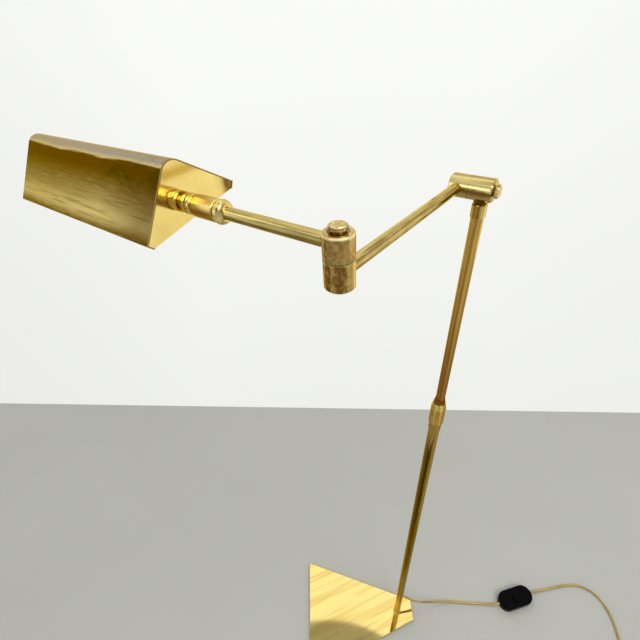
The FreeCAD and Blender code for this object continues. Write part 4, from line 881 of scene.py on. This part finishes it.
class LAMP_OT_pole(bpy.types.Operator):
    """Finish the two tubes of the pole, their clamp and the ferrule"""
    bl_idname = "reading_lamp.pole"
    bl_label = "Pole"

    def execute(self, context):
        dark = chosen("dark_brass")
        lower = lower_pole_film(
            "lower_pole_film", (0.52, 0.34, 0.09), (0.085, 0.034, 0.002), (1.0, 0.72, 0.2))
        wear(lower, "lower_tube", "collar_sleeve")
        upper = upper_pole_film("upper_pole_film", (0.95, 0.64, 0.19), (0.5, 0.27, 0.04))
        wear(upper, "upper_tube")
        collet = clouded_brass("collet_brass", (0.3, 0.12, 0.03), dark, (0.2, 0.4), 120)
        wear(collet, "collet")
        nut_top = top_of("clamp_nut")
        # Bands of film and painted reflection, and a painted highlight on the top bevel.
        nut = turned_brass(
            "nut_brass", POLE_BAR, (0.92, 0.61, 0.18), (0.5, 0.29, 0.06),
            {-60: 0.8, -42: 0.9, -30: 0.7, -19: 0.25, -10: 0.25, 2: 0.75, 10: 0.75, 20: 0.25,
             30: 0.05, 42: 0.4, 56: 0.8}, cloudy=0.12, veins=0.4,
            rim_highlight=(nut_top - 0.0112, nut_top - 0.0098, (1.0, 0.85, 0.3), (0.66, 0.44, 0.06)))
        wear(nut, "clamp_nut")
        # Bands of film and painted reflection, lighter towards the right.
        ferrule = turned_brass(
            "ferrule_brass", POLE_BAR, (1.0, 0.8, 0.28), (0.36, 0.16, 0.01),
            {-56: 0.8, -42: 0.8, -30: 0.9, -19: 0.6, -10: 0.8, 0: 1.0, 9: 0.85, 17: 0.1, 30: 0.0,
             44: 0.0, 60: 0.4}, cloudy=0.05, lines=0.08, spots=0.1)
        wear(ferrule, "pole_ferrule")
        nipple = clouded_brass("nipple_brass", (0.42, 0.24, 0.07), mixed(dark, BLACK, 0.4))
        wear(nipple, "pole_nipple")
        wear(plain_plastic("guide_plastic", (0.75, 0.74, 0.7)), "guide_bush")
        wear(plain_plastic("bush_rubber", BLACK_RUBBER, 0.5, 0.7), "cord_bush")
        return {"FINISHED"}


class LAMP_OT_arms(bpy.types.Operator):
    """Finish the two arms, their barrel joints and screws"""
    bl_idname = "reading_lamp.arms"
    bl_label = "Arms"

    def execute(self, context):
        # Both arms: bands of film and painted reflection, with thin light lines of painted
        # highlight.
        first = turned_brass(
            "arm_1_brass", ARM_1_BAR, (0.88, 0.71, 0.28), (0.34, 0.22, 0.06),
            {-56: 0.8, -42: 0.75, -34: 0.5, -20: 0.4, -11: 0.75, -3: 0.95, 3: 0.85, 8: 0.45,
             16: 0.5, 22: 0.2, 30: 0.45, 38: 0.1, 50: 0.0},
            lines=0.16, veins=0.75)
        wear(first, "arm_1_tube")
        second = turned_brass(
            "arm_2_brass", ARM_2_BAR, (0.92, 0.78, 0.3), (0.3, 0.18, 0.04),
            {-56: 0.9, -38: 0.95, -28: 0.8, -20: 0.3, -12: 0.15, -4: 0.4, 2: 0.95, 6: 0.5, 9: 0.0,
             12: 0.0, 17: 0.75, 26: 0.6, 36: 0.45, 46: 0.3, 60: 0.25},
            cloudy=0.08, lines=0.12, veins=0.4)
        wear(second, "arm_2_tube")
        # Bands of film and painted reflection, with a light painted highlight band near the facing
        # side.
        hinge = turned_brass(
            "hinge_brass", HINGE_BAR, (1.0, 0.88, 0.38), (0.26, 0.12, 0.012),
            {-70: 0.35, -56: 0.6, -46: 0.4, -40: 0.35, -30: 0.65, -19: 0.5, -12: 0.3, -6: 0.0,
             14: 0.0, 19: 0.85, 28: 0.95, 42: 0.7, 60: 0.65},
            cloudy=0.08, lines=0.1, veins=0.35)
        wear(hinge, "hinge_post_half", "hinge_arm_half", "hinge_friction_washer")
        top, seam = top_of("elbow_upper_half"), top_of("elbow_lower_half")
        # Bands of film and painted reflection, a painted highlight on the top bevel, and rings with
        # painted shade under the screw head and round it.
        upper = turned_brass(
            "elbow_upper_brass", ELBOW_BAR, (0.69, 0.45, 0.15), (0.29, 0.18, 0.07),
            {-60: 0.85, -42: 0.6, -30: 0.5, -19: 0.3, -8: 0.5, 8: 0.65, 19: 0.35, 30: 0.25,
             42: 0.1, 56: 0.5},
            drawn=0.25, cloudy=0.5, lines=0.14, spots=0.85, patch=330,
            rim_highlight=(top - 0.0024, top - 0.0016, (1.0, 0.9, 0.52), (0.42, 0.27, 0.1)),
            rings={0.34: (0.2, 0.12, 0.05), 0.39: (0.8, 0.66, 0.36),
                   0.44: (0.9, 0.7, 0.32), 0.47: (0.38, 0.25, 0.12),
                   0.5: (0.98, 0.8, 0.4), 0.6: (0.92, 0.72, 0.32),
                   0.64: (0.5, 0.32, 0.1), 0.68: (1.0, 0.9, 0.5)})
        wear(upper, "elbow_upper_half")
        # Bands of film and painted reflection, and a painted highlight on the bevel under the seam.
        lower = turned_brass(
            "elbow_lower_brass", ELBOW_BAR, (0.96, 0.67, 0.23), (0.25, 0.12, 0.022),
            {-56: 0.75, -47: 1.0, -38: 1.0, -31: 0.5, -20: 0.65, -10: 0.95, 10: 0.9, 19: 0.75,
             30: 0.35, 42: 0.3, 56: 0.0},
            drawn=0.12, cloudy=0.32, lines=0.14, spots=0.85, patch=330,
            rim_highlight=(seam - 0.001, seam - 0.0006, (0.86, 0.66, 0.34), (0.55, 0.36, 0.14)))
        wear(lower, "elbow_lower_half")
        heads = clouded_brass(
            "head_brass", (1.0, 0.84, 0.46), (0.62, 0.42, 0.18), (0.18, 0.34), 480, 0.8)
        wear(heads, "elbow_screw", "hinge_screw")
        washers = plated_steel("washer_steel", (0.34, 0.24, 0.14))
        wear(washers, "elbow_spring_washer", "hinge_spring_washer")
        wear(plain_plastic("friction_disc", (0.03, 0.022, 0.015)), "elbow_friction_washer")
        sheath = plain_plastic("wire_sheath", (0.7, 0.66, 0.58))
        wear(sheath, "wire_arm_1", "wire_arm_2", "wire_post")
        return {"FINISHED"}


class LAMP_OT_swivel(bpy.types.Operator):
    """Finish the turned swivel between arm 2 and the shade"""
    bl_idname = "reading_lamp.swivel"
    bl_label = "Swivel"

    def execute(self, context):
        bead = clouded_brass(
            "bead_brass", (0.95, 0.78, 0.32), (0.66, 0.46, 0.15), (0.08, 0.16), 170, 0.3)
        wear(bead, "swivel_bead", "swivel_cup")
        # Bands of film and painted reflection.
        barrel = turned_brass(
            "barrel_brass", ARM_2_BAR, (0.93, 0.72, 0.26), (0.42, 0.22, 0.03),
            {-60: 1.0, -42: 1.0, -30: 0.85, -19: 0.4, -8: 0.05, 2: 0.0, 12: 0.3, 22: 0.75,
             30: 0.8, 42: 0.35, 60: 0.15},
            drawn=0.15, rough=(0.24, 0.33), cloudy=0.22, lines=0.1, spots=0.4)
        wear(barrel, "swivel_barrel")
        flange = clouded_brass(
            "flange_brass", (0.95, 0.82, 0.38), (0.72, 0.54, 0.18), (0.16, 0.24), 150, 0.3)
        wear(flange, "swivel_flange")
        spindle = clouded_brass("spindle_brass", chosen("aged_brass"), chosen("dark_brass"))
        wear(spindle, "swivel_spindle")
        wear(plated_steel("swivel_steel"), "spindle_nut", "swivel_spring", "shade_nut")
        return {"FINISHED"}


class LAMP_OT_shade(bpy.types.Operator):
    """Finish the shade and the lamp inside it"""
    bl_idname = "reading_lamp.shade"
    bl_label = "Shade"

    def execute(self, context):
        film = shade_film(
            "shade_film", (0.72, 0.6, 0.32), (0.62, 0.51, 0.2), (0.115, 0.052, 0.003))
        wear(film, "shade_shell")
        ends = polished_end("end_plate_polish", (0.84, 0.64, 0.2))
        wear(ends, "end_plate_near", "end_plate_far")
        wear(plain_plastic("socket_black", (0.03, 0.03, 0.03)), "lamp_socket")
        contact = clouded_brass("contact_brass", chosen("bright_brass"), chosen("aged_brass"))
        wear(contact, "socket_contact")
        wear(plated_steel("bulb_cap_steel", (0.62, 0.6, 0.56)), "bulb_cap")
        wear(frosted_glass("bulb_frost"), "bulb_glass")
        return {"FINISHED"}


class LAMP_OT_switch(bpy.types.Operator):
    """Finish the foot switch and what is inside it, the plug's pins and the coil's tie"""
    bl_idname = "reading_lamp.switch"
    bl_label = "Foot switch"

    def execute(self, context):
        black = gloss_plastic("switch_gloss", chosen("switch_black"))
        wear(black, "switch_base", "switch_cover", "switch_button")
        wear(plain_plastic("mechanism_plastic", (0.6, 0.55, 0.45)), "switch_mechanism")
        wear(plated_steel("switch_steel"), "switch_screws", "switch_spring")
        pins = clouded_brass("pin_brass", chosen("bright_brass"), chosen("aged_brass"))
        wear(pins, "switch_terminals", "plug_pins")
        wear(plain_plastic("tie_rubber", BLACK_RUBBER, 0.5, 0.7), "coil_tie")
        return {"FINISHED"}


# Studio.
def key_light(power):
    """The large soft light, to the right of the camera and above it."""
    place, target = Vector((1.0, -1.5, 2.6)), Vector((0, 0.2, 0.4))
    data = bpy.data.lights.new("key_light", "AREA")
    data.shape = "RECTANGLE"
    data.size, data.size_y = 1.6, 1.4
    data.energy = power
    lamp = placed("key_light", data)
    lamp.location = place
    lamp.rotation_euler = (target - place).to_track_quat("-Z", "Y").to_euler()


def studio_floor(studio):
    """A plain floor that ends at a wall behind the lamp and one far to the right."""
    reach, right, sunk = 4, 2.1, 0.0001
    depth, slant = studio.floor_depth, studio.floor_slant
    corners = (
        (-reach, -reach), (right, -reach),
        (right, depth - slant * right), (-reach, depth + slant * reach),
    )
    mesh = bmesh.new()
    mesh.faces.new([mesh.verts.new((x, y, -sunk)) for x, y in corners])
    n = Nodes("floor_paint")
    where = n.place()
    cloud = n.noise(where, 2.2, 3, 0.5)
    grain = n.noise(where, 160, 3, 0.6)
    grey = tuple(studio.floor_grey)
    shade = n.mix(n.above(cloud, 0.35, 0.7, 0.2), grey, mixed(grey, (0.3, 0.3, 0.3), 0.4))
    n.finish(shade, 0.0, n.fit(grain, 0, 1, 0.55, 0.7), n.bump(grain, 0.03, 0.0003))
    return mesh_object("studio_floor", mesh, n.material, smooth=False)


class Sky(Tree):
    """The world's node tree, with brightness laid out by direction."""

    def __init__(self, name):
        world = bpy.data.worlds.new(name)
        world.use_nodes = True
        bpy.context.scene.world = world
        super().__init__(world.node_tree)
        self.tree.nodes.clear()
        self.way = self.add("ShaderNodeTexCoord").outputs["Generated"]
        self.parts = self.add("ShaderNodeSeparateXYZ", {0: self.way}).outputs

    def ramp(self, source, *stops):
        """A ramp of (place from -1 to 1, grey) stops."""
        return self.steps(
            self.fit(source, -1, 1), *(((at + 1) / 2, grey) for at, grey in stops))

    def toward(self, azimuth, climb=0.0):
        """How far a direction points toward an azimuth and elevation, in degrees."""
        azimuth, climb = radians(azimuth), radians(climb)
        flat = cos(climb)
        target = (cos(azimuth) * flat, sin(azimuth) * flat, sin(climb))
        return self.add(
            "ShaderNodeVectorMath", {0: self.way, 1: target},
            operation="DOT_PRODUCT").outputs["Value"]

    def product(self, first, *others):
        for other in others:
            first = self.mix(1.0, first, other, "MULTIPLY")
        return first

    def glow(self, colour, strength):
        return self.add(
            "ShaderNodeBackground", {"Color": colour, "Strength": strength}).outputs[0]


def studio_world(background):
    """Pale surroundings with three bright panes, under a ceiling with a dark middle.

    Two panes are upright and to the left, one is low and to the right. A dim patch hangs
    behind the camera. The camera itself sees the plain background."""
    sky = Sky("studio")
    side, depth, height = (sky.parts[letter] for letter in "XYZ")
    walls = sky.product(
        sky.ramp(depth, (-1, 0.45), (-0.4, 0.52), (0, 0.75), (0.3, 1.0)),
        sky.ramp(height, (-0.75, 0.72), (-0.2, 0.8), (0.3, 0.74), (0.6, 0.66)),
        sky.ramp(side, (-1, 0.82), (-0.3, 0.88), (0.4, 0.95), (1, 1.0)))
    ceiling = sky.ramp(height, (0.6, 0.7), (0.85, 0.86), (0.94, 1.0))
    around = sky.mix(sky.ramp(height, (0.55, 0.0), (0.8, 1.0)), walls, ceiling)
    for azimuth, half_width, low, high, strength in (
        (216, 0.18, -0.1, 0.5, 0.65),
        (176, 0.14, 0.0, 0.62, 0.45),
        (356, 0.24, -0.45, -0.18, 0.3),
    ):
        tall = sky.ramp(
            height, (low - 0.04, 0.0), (low + 0.03, 1.0), (high - 0.04, 1.0), (high + 0.04, 0.0))
        ahead = sky.ramp(sky.toward(azimuth), (0.0, 0.0), (0.1, strength))
        across = sky.ramp(
            sky.toward(azimuth + 90), (-half_width - 0.03, 0.0), (-half_width, 1.0),
            (half_width, 1.0), (half_width + 0.03, 0.0))
        around = sky.mix(1.0, around, sky.product(tall, ahead, across), "ADD")
    for azimuth, climb, edge, core, shade in (
        (180, 87.6, 0.9703, 0.9716, 0.33), (263, 37, 0.955, 0.985, 0.25),
    ):
        around = sky.product(around, sky.fit(sky.toward(azimuth, climb), edge, core, 1.0, shade))
    behind = sky.product(
        sky.ramp(height, (-0.85, 0.89), (-0.6, 0.93), (0.0, 1.0)),
        sky.ramp(side, (-0.65, 0.93), (-0.3, 1.0), (0.4, 1.0), (0.65, 0.97)),
        tuple(background))
    choose = sky.add("ShaderNodeMixShader", {
        0: sky.add("ShaderNodeLightPath").outputs["Is Camera Ray"],
        1: sky.glow(around, 1.25), 2: sky.glow(behind, 1.0)})
    sky.add("ShaderNodeOutputWorld", {0: choose.outputs[0]})


class LAMP_OT_stage(bpy.types.Operator):
    """Set the pale floor and the soft studio light"""
    bl_idname = "reading_lamp.stage"
    bl_label = "Studio"

    def execute(self, context):
        studio = context.scene.lamp_studio
        studio_floor(studio)
        studio_world(studio.background)
        key_light(studio.key_power)
        context.scene.view_settings.view_transform = "Standard"
        context.scene.view_settings.look = "None"
        return {"FINISHED"}


class LAMP_PT_panel(bpy.types.Panel):
    """Lists the lamp's operators in the sidebar"""
    bl_idname = "LAMP_PT_panel"
    bl_label = "Reading Lamp"
    bl_space_type = "VIEW_3D"
    bl_region_type = "UI"
    bl_category = "Reading Lamp"

    def draw(self, context):
        for group in ("lamp_finishes", "lamp_cord", "lamp_details", "lamp_studio"):
            box = self.layout.box()
            values = getattr(context.scene, group)
            for name in values.__annotations__:
                box.prop(values, name)
        for operator in OPERATORS:
            self.layout.operator(operator.bl_idname)


GROUPS = (
    ("lamp_finishes", LampFinishes),
    ("lamp_cord", LampCord),
    ("lamp_details", LampDetails),
    ("lamp_studio", LampStudio),
)
OPERATORS = (
    LAMP_OT_camera, LAMP_OT_cord, LAMP_OT_foot, LAMP_OT_pole, LAMP_OT_arms, LAMP_OT_heads,
    LAMP_OT_swivel, LAMP_OT_shade, LAMP_OT_switch, LAMP_OT_stage,
)


def register():
    for name, group in GROUPS:
        bpy.utils.register_class(group)
        setattr(bpy.types.Scene, name, bpy.props.PointerProperty(type=group))
    for operator in OPERATORS:
        bpy.utils.register_class(operator)
    bpy.utils.register_class(LAMP_PT_panel)


def unregister():
    bpy.utils.unregister_class(LAMP_PT_panel)
    for operator in reversed(OPERATORS):
        bpy.utils.unregister_class(operator)
    for name, group in reversed(GROUPS):
        delattr(bpy.types.Scene, name)
        bpy.utils.unregister_class(group)


def main():
    register()
    bpy.ops.reading_lamp.camera()
    bpy.ops.reading_lamp.cord()
    bpy.ops.reading_lamp.foot()
    bpy.ops.reading_lamp.pole()
    bpy.ops.reading_lamp.arms()
    bpy.ops.reading_lamp.heads()
    bpy.ops.reading_lamp.swivel()
    bpy.ops.reading_lamp.shade()
    bpy.ops.reading_lamp.switch()
    bpy.ops.reading_lamp.stage()


if __name__ == "__main__":
    main()
